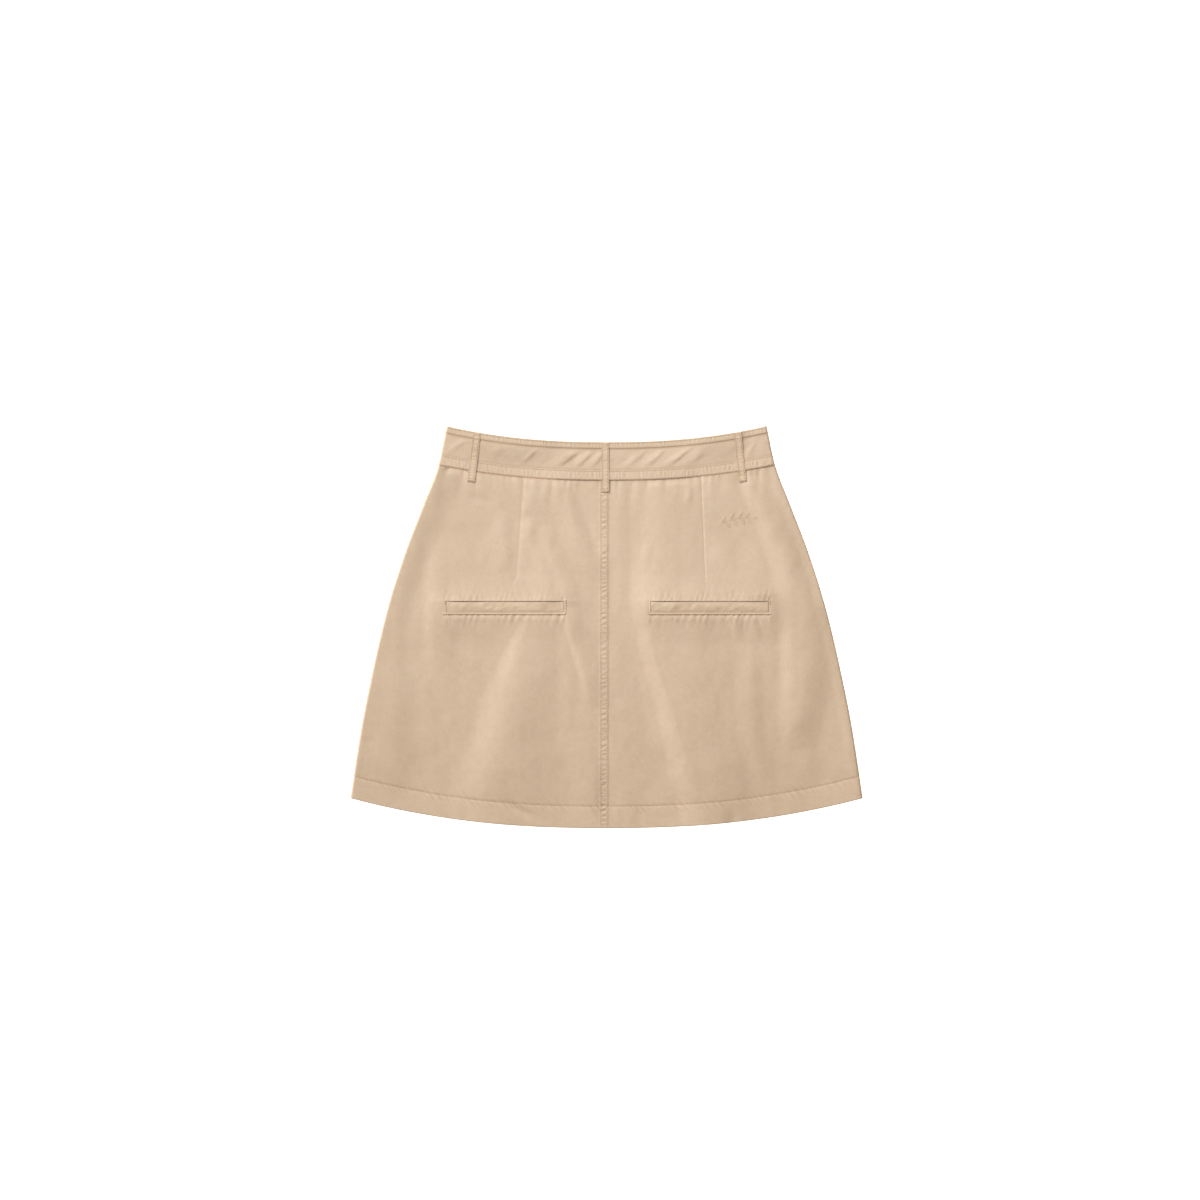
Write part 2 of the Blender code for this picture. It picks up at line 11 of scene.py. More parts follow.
import bpy
import numpy as np
from bpy.props import FloatProperty, FloatVectorProperty, PointerProperty
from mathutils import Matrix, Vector


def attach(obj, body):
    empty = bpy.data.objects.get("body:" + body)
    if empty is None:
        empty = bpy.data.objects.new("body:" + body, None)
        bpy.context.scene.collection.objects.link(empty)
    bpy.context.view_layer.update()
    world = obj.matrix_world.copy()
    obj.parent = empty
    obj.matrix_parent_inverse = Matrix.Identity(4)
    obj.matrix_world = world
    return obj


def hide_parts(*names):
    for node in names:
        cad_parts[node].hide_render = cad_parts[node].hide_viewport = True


bl_info = {
    "name": "Utility Skirt",
    "version": (1, 0, 0),
    "blender": (4, 5, 0),
    "location": "3D View > Sidebar > Skirt",
    "description": "Builds the cloth, seams and stitching of a twill utility skirt",
    "category": "Add Mesh",
}

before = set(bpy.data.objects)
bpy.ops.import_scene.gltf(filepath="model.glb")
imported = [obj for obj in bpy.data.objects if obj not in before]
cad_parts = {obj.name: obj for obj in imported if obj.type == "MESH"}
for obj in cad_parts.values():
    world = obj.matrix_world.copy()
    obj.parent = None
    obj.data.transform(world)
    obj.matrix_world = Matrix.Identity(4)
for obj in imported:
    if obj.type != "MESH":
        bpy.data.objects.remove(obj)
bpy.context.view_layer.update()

MM = 0.001

# The skirt's driving sizes, as cut in its solids
WAIST_FLAT = 330.0
HEM_FLAT = 528.0
CENTRE_BACK = 398.0
WAISTBAND_DEEP = 40.0
HEM_DEEP = 23.2
SIDE_LONG = 414.5
HEM_SWEEP = 31.0
SEAM_SWEEP = 16.0
TOP_SWEEP = SIDE_LONG - CENTRE_BACK
SWEEP_POWER = 2.3
WAIST_SEAM = CENTRE_BACK - WAISTBAND_DEEP
MID_UP = SIDE_LONG / 2

# Walls and levels above the table
WALL = 1.2
LAP_WALL = 1.0
GAP = 0.3
FRONT_BAND_TOP = 2.3
SIDE_SEAM_Z = 2.5
ROLL = 2.5
ROLL_CELLS = 8
EDGE_ROUND = 0.9
SKIN_Z = 3.2
BAND_Z = 4.6
BAND_UNDER = 2.6
TUCK_IN = 8.0
TUCK_Z = 4.2
TUCK_FLAT = 7.0

# Raised hem, centre seam strip and waistband strips
HEM_RAISE = 0.10
HEM_TILT = 0.85
STRIP_RAISE = 0.18
STRIP_WIDE = 8.9
CENTRE_SEAM = 2.2
SEAM_GAP = 0.06
STRIP_EDGE = CENTRE_SEAM - SEAM_GAP / 2
LOWER_RAISE = 0.22
LOWER_STRIP = 10.3
TOP_RAISE = 0.35
TOP_STRIP = 6.7
BAND_TILT = 0.028

# Darts, welts and their windows
DART_TIP = 238.0
WELT_LOW = 222.0
WELT_HIGH = 233.9
WELT_WALL = 1.5
WELT_DEEP = 11.0
WELT_GAP = 0.1
WELT_PUFF = 0.28
SWELL_BELOW = 50.0
SWELL_ENDS = 34.0
MOUTH_LIP = 0.5
LIP_REACH = 8.5

# Belt loops, the front's lap, and how dark a crevice's painted shade is at its darkest
LOOP_WIDE = 7.9
LOOP_LONG = 51.6
LOOP_WALL = 0.36
LOOP_SLACK = 0.05
LOOP_LIFT = 0.02
LOOP_INSET = 0.6
LAP_LONG = 36.0
CREVICE_SHADE = 0.42


def table(fields, *rows):
    """Rows of values as tuples with named fields."""
    kind = namedtuple("Row", fields)
    return tuple(kind(*row) for row in rows)


SIDE_SECTIONS = table(
    "name up half_width",
    ("hem corner", HEM_SWEEP, HEM_FLAT / 2),
    ("low", 103.0, 253.0),
    ("thigh", 165.0, 240.6),
    ("pocket", 227.5, 225.7),
    ("hip", 285.0, 207.6),
    ("high hip", 333.0, 189.3),
    ("waist seam", WAIST_SEAM + SEAM_SWEEP, 173.8),
    ("waist edge", SIDE_LONG, WAIST_FLAT / 2),
)

# Lines down each back panel, by X at the hem, at the pocket and at the waist seam
LINE_FIELDS = "name hem pocket waist"
LEFT_LINES = table(
    LINE_FIELDS,
    ("welt outer end", -193.0, -165.0, -139.5),
    ("dart", -112.0, -95.0, -85.7),
    ("welt inner end", -52.0, -43.5, -36.0),
)
RIGHT_LINES = table(
    LINE_FIELDS,
    ("welt inner end", 54.0, 45.6, 38.0),
    ("dart", 118.0, 102.6, 97.4),
    ("welt outer end", 194.0, 166.8, 139.5),
)

# The skirt's halves: which way each lies from the centre, its lines, and how high and how far
# up the cloth swells above its welt
HALVES = table(
    "side word lines swell_high swell_reach",
    (-1, "left", LEFT_LINES, 1.5, 34),
    (1, "right", RIGHT_LINES, 2.6, 62),
)
LEFT, RIGHT = HALVES

# Folds: at stations, X and up of the crest, the widths of its two flanks and its height
FOLD_FIELDS = "x up left_flank right_flank height"
FOLD_ROWS = {
    "left long fold": (
        (-79, 222, 8, 35, 0.0), (-82, 207, 12, 41, 0.8), (-86, 183, 21, 46, 1.9),
        (-94, 142, 34, 56, 3.1), (-102, 101, 42, 62, 3.5), (-110, 65, 47, 84, 3.4),
        (-117, 30, 50, 95, 2.6), (-120, -2, 50, 95, 1.8),
    ),
    "left slim fold": (
        (-38, 212, 12, 10, 0.0), (-40, 184, 14, 12, 0.45), (-38, 150, 14, 14, 0.45),
        (-40, 110, 14, 14, 0.2), (-42, 84, 16, 16, 0.0),
    ),
    "left thin fold": (
        (-43, 228, 8, 20, 0.0), (-36, 205, 9, 22, 1.3), (-22, 158, 9, 24, 1.4),
        (-12, 124, 9, 22, 0.0),
    ),
    "right long fold": (
        (54, 361, 26, 70, 1.0), (60, 330, 36, 75, 1.9), (62, 285, 38, 80, 1.9),
        (57, 245, 36, 85, 1.6), (47, 214, 22, 95, 1.7), (47, 194, 17, 103, 2.3),
        (55, 163, 18, 108, 2.8), (65, 132, 19, 110, 3.2), (75, 101, 22, 105, 3.6),
        (84, 70, 25, 98, 3.7), (93, 39, 29, 80, 3.6), (107, -2, 32, 55, 2.7),
    ),
    "right side fold": (
        (148, 352, 14, 22, 1.0), (158, 333, 16, 24, 1.6), (169, 312, 18, 24, 1.9),
        (179, 287, 20, 24, 2.1), (188, 266, 22, 25, 2.3), (197, 245, 26, 27, 2.4),
        (204, 225, 30, 30, 2.5), (205, 184, 30, 32, 2.3), (202, 142, 28, 32, 2.2),
        (198, 116, 24, 30, 1.9), (196, 98, 21, 28, 1.1), (194, 80, 18, 28, 0.0),
    ),
    "right side ridge": (
        (188, 240, 12, 9, 0.0), (189, 215, 13, 9, 0.35), (190, 150, 13, 9, 0.35),
        (190, 120, 12, 9, 0.0),
    ),
    "left side fold": (
        (-150, 345, 25, 41, 0.0), (-168, 297, 18, 50, 0.2), (-173, 268, 16, 55, 0.6),
        (-178, 214, 13, 60, 0.9), (-177, 186, 13, 60, 0.5), (-176, 160, 16, 60, 0.0),
    ),
    "long drag line": (
        (-50, 358, 16, 12, 0.4), (-38, 328, 20, 15, 1.2), (-27, 297, 20, 16, 1.4),
        (-17, 274, 18, 14, 0.9), (-10, 254, 12, 12, 0.0),
    ),
    "short drag line": (
        (-63, 312, 10, 12, 0.0), (-60, 297, 11, 14, 0.8), (-50, 271, 12, 17, 0.9),
        (-42, 243, 12, 16, 0.8), (-41, 236, 10, 15, 0.4),
    ),
    "dart swell": (
        (-66, 292, 16, 12, 0.0), (-64, 275, 22, 16, 0.6), (-63, 250, 25, 18, 1.0),
        (-62, 238, 25, 18, 0.9),
    ),
    "upper left fold": (
        (-106, 328, 14, 10, 0.0), (-106, 308, 16, 12, 0.6), (-105, 282, 18, 12, 0.6),
        (-108, 262, 16, 12, 0.0),
    ),
    "right pocket fold": (
        (108, 310, 15, 20, 0.0), (120, 283, 20, 25, 0.7), (137, 260, 25, 28, 1.1),
        (158, 242, 28, 25, 1.1),
    ),
    "right low fold": (
        (146, 206, 14, 14, 0.0), (148, 180, 18, 15, 0.6), (148, 132, 18, 15, 0.7),
        (153, 90, 18, 16, 0.6), (163, 44, 20, 18, 0.5), (168, 10, 20, 18, 0.0),
    ),
    "centre fold": (
        (12, 352, 10, 12, 0.3), (13, 300, 10, 12, 0.2), (14, 262, 10, 13, 0.5),
        (14, 238, 10, 14, 0.6), (16, 212, 10, 12, 0.0),
    ),
    "low middle fold": (
        (-30, 100, 26, 25, 0.0), (-16, 62, 34, 14, 0.9), (-14, 30, 36, 14, 0.8),
        (-14, -2, 36, 14, 0.4),
    ),
    "low hollow": (
        (22, 218, 15, 12, 0.0), (27, 180, 18, 12, -0.4), (38, 120, 24, 14, -0.5),
        (50, 60, 28, 20, -0.6), (60, -2, 28, 14, 0.0),
    ),
    "low right fold": (
        (243, 150, 32, 10, 0.0), (254, 100, 42, 14, 1.0), (261, 60, 48, 14, 1.6),
        (266, 20, 50, 14, 1.5), (266, -2, 50, 14, 1.2),
    ),
}
FOLDS = [table(FOLD_FIELDS, *rows) for rows in FOLD_ROWS.values()]
FOLD_FADE = 12.0

# Along each side the cloth stands up by the height, over its flat edge and the reach inside it
SWELL_FIELDS = "up flat reach height"
LEFT_SWELLS = table(
    SWELL_FIELDS,
    (0, 30, 30, 0.3), (40, 34, 30, 0.9), (75, 34, 32, 1.6), (132, 24, 34, 1.8), (184, 13, 20, 1.0),
    (235, 8, 20, 1.2), (285, 2, 29, 1.8), (335, 2, 32, 2.2), (360, 3, 28, 1.9),
)
RIGHT_SWELLS = table(
    SWELL_FIELDS,
    (0, 4, 14, 0.4), (60, 3, 12, 0.3), (110, 2, 12, 0.6), (215, 2, 10, 0.5), (285, 2, 9, 0.2),
    (360, 2, 9, 0.2),
)

# The cloth stands higher towards the waist, and higher still on the left under the waistband:
# by how much, from how far up and over what distance
UPPER_RISE = (0.8, 290, 60)
LEFT_RISE = (0.45, 326, 34)

# The cloth's own unevenness: clouds by height, stretch along "up", seed and pitch
CLOUDS = ((0.13, 0.6, 3, 19), (0.05, 0.7, 4, 8.5))
LATTICE = 97

# How much higher the waistband stands at its top strip than at its lower one
BAND_LEANS = table(
    "x height",
    (-165, 0.3), (-148, 0.6), (-128, 2.0), (-92, 2.6), (-68, 2.2), (-46, 0.0), (-12, -0.5),
    (10, -0.2), (28, 0.0), (48, -0.5), (78, -0.4), (98, 1.3), (130, 1.7), (148, 0.0), (165, 0.4),
)
BAND_RISE = 0.4
BAND_RISE_X = 148.0

# Slanting drag lines of the waistband: X where each meets the lower and the top strip
BAND_DRAGS = table(
    "low_x high_x left_flank right_flank height",
    (-166, -143, 7, 6, 0.40), (-122, -106, 9, 8, 0.22), (-90, -70, 6, 5, 0.38),
    (-54, -27, 16, 6, 0.68), (-34, -12, 9, 5, 0.50), (-17, -1, 8, 5, 0.55), (17, 42, 10, 7, 0.32),
    (37, 62, 9, 6, 0.48), (59, 90, 12, 6, 0.60), (84, 104, 12, 8, 0.34), (146, 152, 6, 6, 0.30),
)

BELT_LOOPS = table(
    "name top_x end_x",
    ("loop_left", -133.1, -139.5),
    ("loop_centre", -1.2, -1.2),
    ("loop_right", 134.9, 140.5),
)

# Each cloth piece as cut: the sides of its rectangle, what it lies on and what is sewn to it
CUTS = table(
    "node wide long rests_on sewn_on",
    ("front_left", 264.0, 374.0, ("floor",), ("stitches_front_left",)),
    ("front_right", 264.0, 374.0, ("floor",), ("stitches_front_right",)),
    ("back_left", 266.5, 374.0, ("front_left",), ("stitches_back_left",)),
    ("back_right", 262.0, 374.0, ("front_right",), ("stitches_back_right", "sprig")),
    ("waistband_front_left", 192.0, 56.5, ("floor",), ("stitches_band_left",)),
    ("waistband_front_right", 192.0, 56.5, ("floor",), ("stitches_band_right",)),
    ("waistband_back", 348.0, 56.5, ("waistband_front_left",), ("stitches_waistband_back",)),
    ("welt_left", 121.0, 11.3, ("back_left",), ()),
    ("welt_right", 121.0, 11.3, ("back_right",), ()),
    ("loop_left", 10.0, LOOP_LONG, ("waistband_back",), ("stitches_loop_left",)),
    ("loop_centre", 10.0, LOOP_LONG, ("waistband_back",), ("stitches_loop_centre",)),
    ("loop_right", 10.0, LOOP_LONG, ("waistband_back",), ("stitches_loop_right",)),
)

# Rows of topstitching, by their distance from the edge or seam that they follow
HEM_STITCH = 22.8
STRIP_STITCHES = (1.4, 7.9)
BAND_STITCHES = (1.0, 9.3, 38.0)
WELT_STITCH = 2.2
LOOP_STITCH = 2.6
FLY_STITCHES = (31.0, 36.0)
POCKET_STITCHES = (2.0, 8.0)
FLY_END = 205.0
FLY_BEND = 38.0
STITCH_LIFT = 0.36
STITCH_GAP = 0.36
# Each needle hole is a dark disc of painted shade: how wide it is and how high it stands
HOLE_SHADE_WIDE = 1.1
HOLE_SHADE_LIFT = 0.36
BARTACK_PITCH = 0.42
BARTACK_THREAD = 0.42
BARTACK_LIFT = 0.3

# The embroidered sprig beside the right dart: a bowed stem with pairs of satin-stitched leaves
SPRIG_X = 135.6
SPRIG_ROW = 313.3
STEM_LONG = 33.0
STEM_BOW = 2.2
STEM_THREAD = 0.7
SATIN_THREAD = 0.5
SATIN_LIFT = 0.30
SATIN_SLANT = 1.1
LEAVES = table(
    "place turn long wide stitches",
    (0.08, 60, 7.6, 3.8, 17), (0.17, -46, 7.8, 3.9, 17), (0.31, 54, 8.2, 4.0, 18),
    (0.41, -50, 8.0, 4.0, 18), (0.55, 46, 7.8, 3.8, 17), (0.65, -54, 7.2, 3.7, 16),
    (0.78, 38, 6.8, 3.4, 15), (0.86, -50, 6.2, 3.2, 14), (1.0, -6, 6.6, 3.4, 15),
)

# The waist button: its four holes, the dish between them and the rim as radius and Z
BUTTON_WIDE = 15.0
BUTTON_HOLES = 1.15
HOLE_WIDE = 1.5
HOLE_DEEP = 0.75
BUTTON_TURNS = 96
BUTTON_DISH = 0.24
BUTTON_EDGE = (
    (5.6, 0.20), (5.9, 0.08), (6.4, 0.01), (6.9, 0.03), (7.25, 0.14), (7.45, 0.34), (7.5, 0.55),
    (7.42, 0.78), (7.2, 0.92), (6.8, 0.99),
)

# Short creases: where each starts and ends, how wide each flank is and how high it stands
CREASES = table(
    "x up end_x end_up flank height",
    (-80, 352, -80, 322, 9, 0.25), (-80, 322, -79, 294, 9, 0.45), (-155, 344, -108, 334, 8, -0.35),
    (-176, 200, -132, 164, 10, 0.40), (-120, 34, -56, 2, 7, -0.65), (-250, 96, -238, 84, 7, -0.25),
    (131, 226, 137, 188, 8, 0.55), (143, 224, 161, 192, 7, 0.75), (86, 360, 84, 328, 6, 0.40),
    (129, 26, 130, -12, 9, -0.50), (44, 300, 38, 262, 8, 0.35),
)

# Each front panel's slash pocket, from the waist seam down to the side
POCKET_TOP_X = 92.0
POCKET_END = 232.0
POCKET_EDGE = 14.0
POCKET_BOW = 1.8


# ---------------------------------------------------------------- curves and folds


def curve(at, places, values):
    """Smooth monotone cubic through the values at the places, level past its ends."""
    places = np.asarray(places, float)
    values = np.asarray(values, float)
    order = np.argsort(places)
    places, values = places[order], values[order]
    slopes = np.diff(values) / np.diff(places)
    total = slopes[1:] + slopes[:-1]
    same_way = slopes[1:] * slopes[:-1] > 0
    middle = np.where(same_way, 2 * slopes[1:] * slopes[:-1] / np.where(same_way, total, 1), 0)
    bends = np.concatenate([slopes[:1], middle, slopes[-1:]])
    at = np.clip(at, places[0], places[-1])
    i = np.clip(np.searchsorted(places, at, side="right") - 1, 0, len(places) - 2)
    width = places[i + 1] - places[i]
    t = (at - places[i]) / width
    ends = ((2 * t - 3) * t * t + 1) * values[i] + (3 - 2 * t) * t * t * values[i + 1]
    return ends + ((t - 2) * t + 1) * t * width * bends[i] + (t - 1) * t * t * width * bends[i + 1]


def followed(at, rows, key, *fields):
    """Smooth curves through some fields of a table's rows, which lie along its key field."""
    places = [getattr(row, key) for row in rows]
    return [curve(at, places, [getattr(row, field) for row in rows]) for field in fields]


def ease(t):
    """0 below 0, 1 above 1 and an S between."""
    t = np.clip(t, 0, 1)
    return t * t * (3 - 2 * t)


def hump(t):
    """1 at 0, falling in a half cosine to 0 at 1 and past it."""
    return 0.5 * (1 + np.cos(np.pi * np.clip(np.abs(t), 0, 1)))


def flanked(aside, left, right):
    """1 at a crest, falling in a half cosine to 0 over its left and its right flank."""
    return hump(aside / np.where(aside < 0, left, right))


def bell(t):
    """1 at 0, falling as a Gaussian: e to the minus t squared."""
    return np.exp(-t * t)


def within(x, ends, beyond, reach):
    """0 further than a distance beyond two ends, rising to 1 inwards over the reach."""
    low, high = ends
    return ease((x - low + beyond) / reach) * ease((high + beyond - x) / reach)


def ripple(t, pitch, seed):
    """Uneven ripples: a cosine along t whose phase and height wander with slow sine waves."""
    a, b, c = np.random.default_rng(seed).uniform(0, 2 * np.pi, 3)
    turn = 2 * np.pi * t / pitch
    wander = 1.3 * np.sin(turn / 4.7 + a) + 0.9 * np.sin(turn / 9.1 + b)
    height = 0.65 + 0.35 * np.sin(turn / 6.3 + c)
    return height * np.cos(turn + wander)


def unevenness(x, y, seed, shortest, longest, count=14):
    """Sum of sine waves of seeded directions, lengths and phases, each as high as it is long."""
    draw = np.random.default_rng(seed)
    angles = draw.uniform(0, np.pi, count)
    lengths = shortest * (longest / shortest) ** draw.uniform(0, 1, count)
    phases = draw.uniform(0, 2 * np.pi, count)
    total = 0 * x
    for angle, length, phase in zip(angles, lengths, phases):
        across = x * np.cos(angle) + y * np.sin(angle)
        total = total + length / longest * np.sin(2 * np.pi * across / length + phase)
    return total / np.sqrt(count / 2)


def cloudy(x, y, seed, pitch):
    """Smooth random field: seeded values on a square lattice, eased from one to the next."""
    lattice = np.random.default_rng(seed).normal(size=(LATTICE, LATTICE))
    across, along = np.floor(x / pitch), np.floor(y / pitch)
    s, t = ease(x / pitch - across), ease(y / pitch - along)
    i, j = across.astype(int) % LATTICE, along.astype(int) % LATTICE
    i_after, j_after = (i + 1) % LATTICE, (j + 1) % LATTICE
    low = lattice[i, j] * (1 - s) + lattice[i_after, j] * s
    high = lattice[i, j_after] * (1 - s) + lattice[i_after, j_after] * s
    return low * (1 - t) + high * t


def half_width(side_up):
    """Half the skirt's width at heights of its side."""
    return followed(side_up, SIDE_SECTIONS, "up", "half_width")[0]


def sweep(up):
    """How far a row of the panels bends up at the side: level at the pockets."""
    places = (0.0, HEM_DEEP + 0.8, WELT_LOW, WELT_HIGH, WAIST_SEAM, CENTRE_BACK)
    return np.interp(up, places, (HEM_SWEEP, HEM_SWEEP, 0.0, 0.0, SEAM_SWEEP, TOP_SWEEP))


def bent_up(x, row):
    """Up of points in a panel's rows, which bend up towards the sides by a power of X."""
    width = half_width(row + sweep(row))
    return row + sweep(row) * np.abs(x / width) ** SWEEP_POWER


def seam_rise(x):
    """How far the waist seam rises towards the sides."""
    return SEAM_SWEEP * np.abs(x / half_width(WAIST_SEAM + SEAM_SWEEP)) ** SWEEP_POWER


def fold_height(stations, x, up):
    """One fold: a half cosine down each flank from a crest that follows the stations."""
    fields = ("x", "left_flank", "right_flank", "height")
    crest, left, right, height = followed(up, stations, "up", *fields)
    ups = [s.up for s in stations]
    fade = ease(1 - (min(ups) - up) / FOLD_FADE) * ease(1 - (up - max(ups)) / FOLD_FADE)
    return height * fade * flanked(x - crest, left, right)


def side_swell(x, up, swells):
    """The cloth stands up along a side fold and sinks over the reach of the swell."""
    height, reach, flat = followed(up, swells, "up", "height", "reach", "flat")
    inward = half_width(up) - np.abs(x)
    return height * hump(np.maximum(inward - flat, 0) / reach)


def welt_ends(lines):
    """X of a welt's two ends, low end first."""
    ends = [line.pocket for line in lines if line.name.startswith("welt")]
    return min(ends), max(ends)


def pocket_swell(x, up, half):
    """A swell above a welt, steepest at the welt, which drops away over the welt and below it."""
    along = within(x, welt_ends(half.lines), SWELL_ENDS, SWELL_ENDS)
    above = up - WELT_HIGH
    rising = (1 - np.clip(above / half.swell_reach, 0, 1)) ** 2
    return half.swell_high * along * np.where(above > 0, rising, hump(above / SWELL_BELOW))


def mouth_lip(x, up, ends):
    """The cloth over a pocket's mouth stands off the welt, most at its edge."""
    fall = np.exp(-np.clip(up - WELT_HIGH, 0, None) / LIP_REACH)
    return MOUTH_LIP * within(x, ends, -0.5, 8) * fall * (up > WELT_HIGH - 0.01)


def crease_height(crease, x, up):
    """A short fold: a half cosine across its line, fading out over its ends."""
    run = np.array([crease.end_x - crease.x, crease.end_up - crease.up])
    long = np.hypot(*run)
    along = ((x - crease.x) * run[0] + (up - crease.up) * run[1]) / long
    aside = ((x - crease.x) * run[1] - (up - crease.up) * run[0]) / long
    over = np.clip(along / long, 0, 1)
    return crease.height * hump(2 * over - 1) * hump(aside / crease.flank)


def climb(up, height, start, reach):
    """A height that is reached in an S, over a distance up from a start."""
    return height * ease((up - start) / reach)


def skin(x, up):
    """Level of the back's outer face, before its seams are raised."""
    z = SKIN_Z + np.where(x < 0, side_swell(x, up, LEFT_SWELLS), side_swell(x, up, RIGHT_SWELLS))
    for stations in FOLDS:
        z = z + fold_height(stations, x, up)
    to_left = ease((10 - x) / 40)
    z = z + climb(up, *UPPER_RISE) + climb(up, *LEFT_RISE) * to_left
    for half in HALVES:
        z = z + pocket_swell(x, up, half)
    for crease in CREASES:
        z = z + crease_height(crease, x, up)
    for height, stretch, seed, pitch in CLOUDS:
        z = z + height * cloudy(x, stretch * up, seed, pitch)
    z = z + 0.05 * unevenness(x, 0.5 * up, seed=5, shortest=9, longest=38)
    seam = WAIST_SEAM + seam_rise(x)
    tuck = ease((up - seam + TUCK_IN) / TUCK_IN)
    side = ease(2 - (half_width(up) - np.abs(x)) / TUCK_FLAT)
    return z + tuck * (1 - side) * (TUCK_Z - z)


# ---------------------------------------------------------------- grids


def graded(*stops):
    """Places from the first stop to the last in an even number of steps.

    Each stop is a place and the pitch there; the steps' lengths follow the pitches between.
    """
    places = np.array([s[0] for s in stops], float)
    fine = np.linspace(places[0], places[-1], 2001)
    pitch = np.interp(fine, places, [s[1] for s in stops])
    mean = (1 / pitch[1:] + 1 / pitch[:-1]) / 2 * np.diff(fine)
    count = np.concatenate([[0], np.cumsum(mean)])
    cells = 2 * int(np.ceil(count[-1] / 2))
    return np.interp(np.linspace(0, count[-1], cells + 1), count, fine)


def joined(*runs):
    """Runs of places or of columns one after another, each starting where the last one ends."""
    return np.concatenate([run[..., :-1] for run in runs[:-1]] + [runs[-1]], axis=-1)


def rounded_places(edge, inward, radius, cells=4):
    """Places from an edge inwards, at equal turns of the quarter circle that rounds it."""
    turn = np.linspace(0, np.pi / 2, cells + 1)
    return edge + inward * radius * (1 - np.cos(turn))


def edged(low, high, radius, run):
    """A run of places with the rounded places of its two edges before and after it."""
    return joined(rounded_places(low, 1, radius), run, rounded_places(high, -1, radius)[::-1])


def edge_drop(inward, radius, drop):
    """How far a face has fallen at a distance in from its turned edge: a quarter ellipse."""
    t = np.clip(inward / radius, 0, 1)
    return drop * (1 - np.sqrt(1 - (1 - t) ** 2))


def between(start, end, places):
    """Columns from one line to another, a row of them for each row, at shares of the way."""
    share = (places - places[0]) / (places[-1] - places[0])
    return start[:, None] * (1 - share) + end[:, None] * share


def line_x(line, rows):
    """X of a panel's line at each row: straight runs, upright beside the welt."""
    places = (0.0, WELT_LOW, WELT_HIGH, WAIST_SEAM)
    return np.interp(rows, places, (line.hem, line.pocket, line.pocket, line.waist))


def rolled(x, z, inner_z, width, level, sides):
    """A flat grid with columns added that carry its wall round to the side seam at level.

    The outer face follows a quarter ellipse of half-widths ROLL and z - level, and the inner
    face one that is smaller by the wall. Gives outer X and Z, then inner X and Z.
    """
    grids = [x, z, x, inner_z]
    turn = np.radians(np.linspace(90, 0, ROLL_CELLS + 1))[None, :]
    for side in sides:
        last = 0 if side < 0 else -1
        rise = (z[:, last] - level)[:, None]
        wall = np.minimum(np.abs(z - inner_z)[:, last][:, None], ROLL - 0.4)
        inside = np.sign(rise) * np.maximum(np.abs(rise) - wall, 0.1)
        out = width[:, None] - ROLL
        added = (
            side * (out + ROLL * np.cos(turn)),
            level + rise * np.sin(turn),
            side * (out + (ROLL - wall) * np.cos(turn)),
            level + inside * np.sin(turn),
        )
        if side < 0:
            grids = [np.concatenate([a[:, ::-1], g[:, 1:]], axis=1) for a, g in zip(added, grids)]
        else:
            grids = [joined(g, a) for a, g in zip(added, grids)]
    return grids


def with_roll(detail, sides):
    """A grid of fine relief with level columns added for the roll at each of the sides."""
    spare = np.zeros((len(detail), ROLL_CELLS))
    parts = [spare] * (-1 in sides) + [detail] + [spare] * (1 in sides)
    return np.concatenate(parts, axis=1)


def panel_grids(rows, x, z, inner_z, level, side):
    """A panel's grids of outer X, up and Z and inner X and Z, rolled to its side seam."""
    width = half_width(rows + sweep(rows))
    x, z, inner_x, inner_z = rolled(x, z, inner_z, width, level, [side])
    return x, bent_up(x, rows[:, None] + 0 * x), z, inner_x, inner_z


def shell(outer, inner, keep=None):
    """Faces of a closed wall between a grid and an inner grid of half as many cells each way.

    Outer cells and inner cells are quads that face apart. Along every edge of what keep
    leaves, a rim of pentagons joins two outer steps to one inner step.
    """
    rows, columns = outer.shape[:2]
    if keep is None:
        keep = np.ones((rows // 2, columns // 2), bool)
    fine = np.repeat(np.repeat(keep, 2, axis=0), 2, axis=1)
    out = np.arange(rows * columns).reshape(rows, columns)
    back = rows * columns + np.arange(inner.shape[0] * inner.shape[1]).reshape(inner.shape[:2])
    fronts = np.stack([out[:-1, :-1], out[:-1, 1:], out[1:, 1:], out[1:, :-1]], axis=-1)[fine]
    backs = np.stack([back[:-1, :-1], back[1:, :-1], back[1:, 1:], back[:-1, 1:]], axis=-1)[keep]
    beside = np.pad(keep, 1)
    over, along, up = out[::2, ::2], out[::2, 1::2], out[1::2, ::2]
    low_left, low_right = (over[:-1, :-1], back[:-1, :-1]), (over[:-1, 1:], back[:-1, 1:])
    high_left, high_right = (over[1:, :-1], back[1:, :-1]), (over[1:, 1:], back[1:, 1:])
    sides = (
        (beside[:-2, 1:-1], low_left, along[:-1], low_right),
        (beside[1:-1, 2:], low_right, up[:, 1:], high_right),
        (beside[2:, 1:-1], high_right, along[1:], high_left),
        (beside[1:-1, :-2], high_left, up[:, :-1], low_left),
    )
    rims = []
    for filled, start, middle, end in sides:
        rim = np.stack([end[0], middle, start[0], start[1], end[1]], axis=-1)
        rims.append(rim[keep & ~filled])
    return [np.concatenate([fronts, backs]), np.concatenate(rims)]


# ---------------------------------------------------------------- pieces


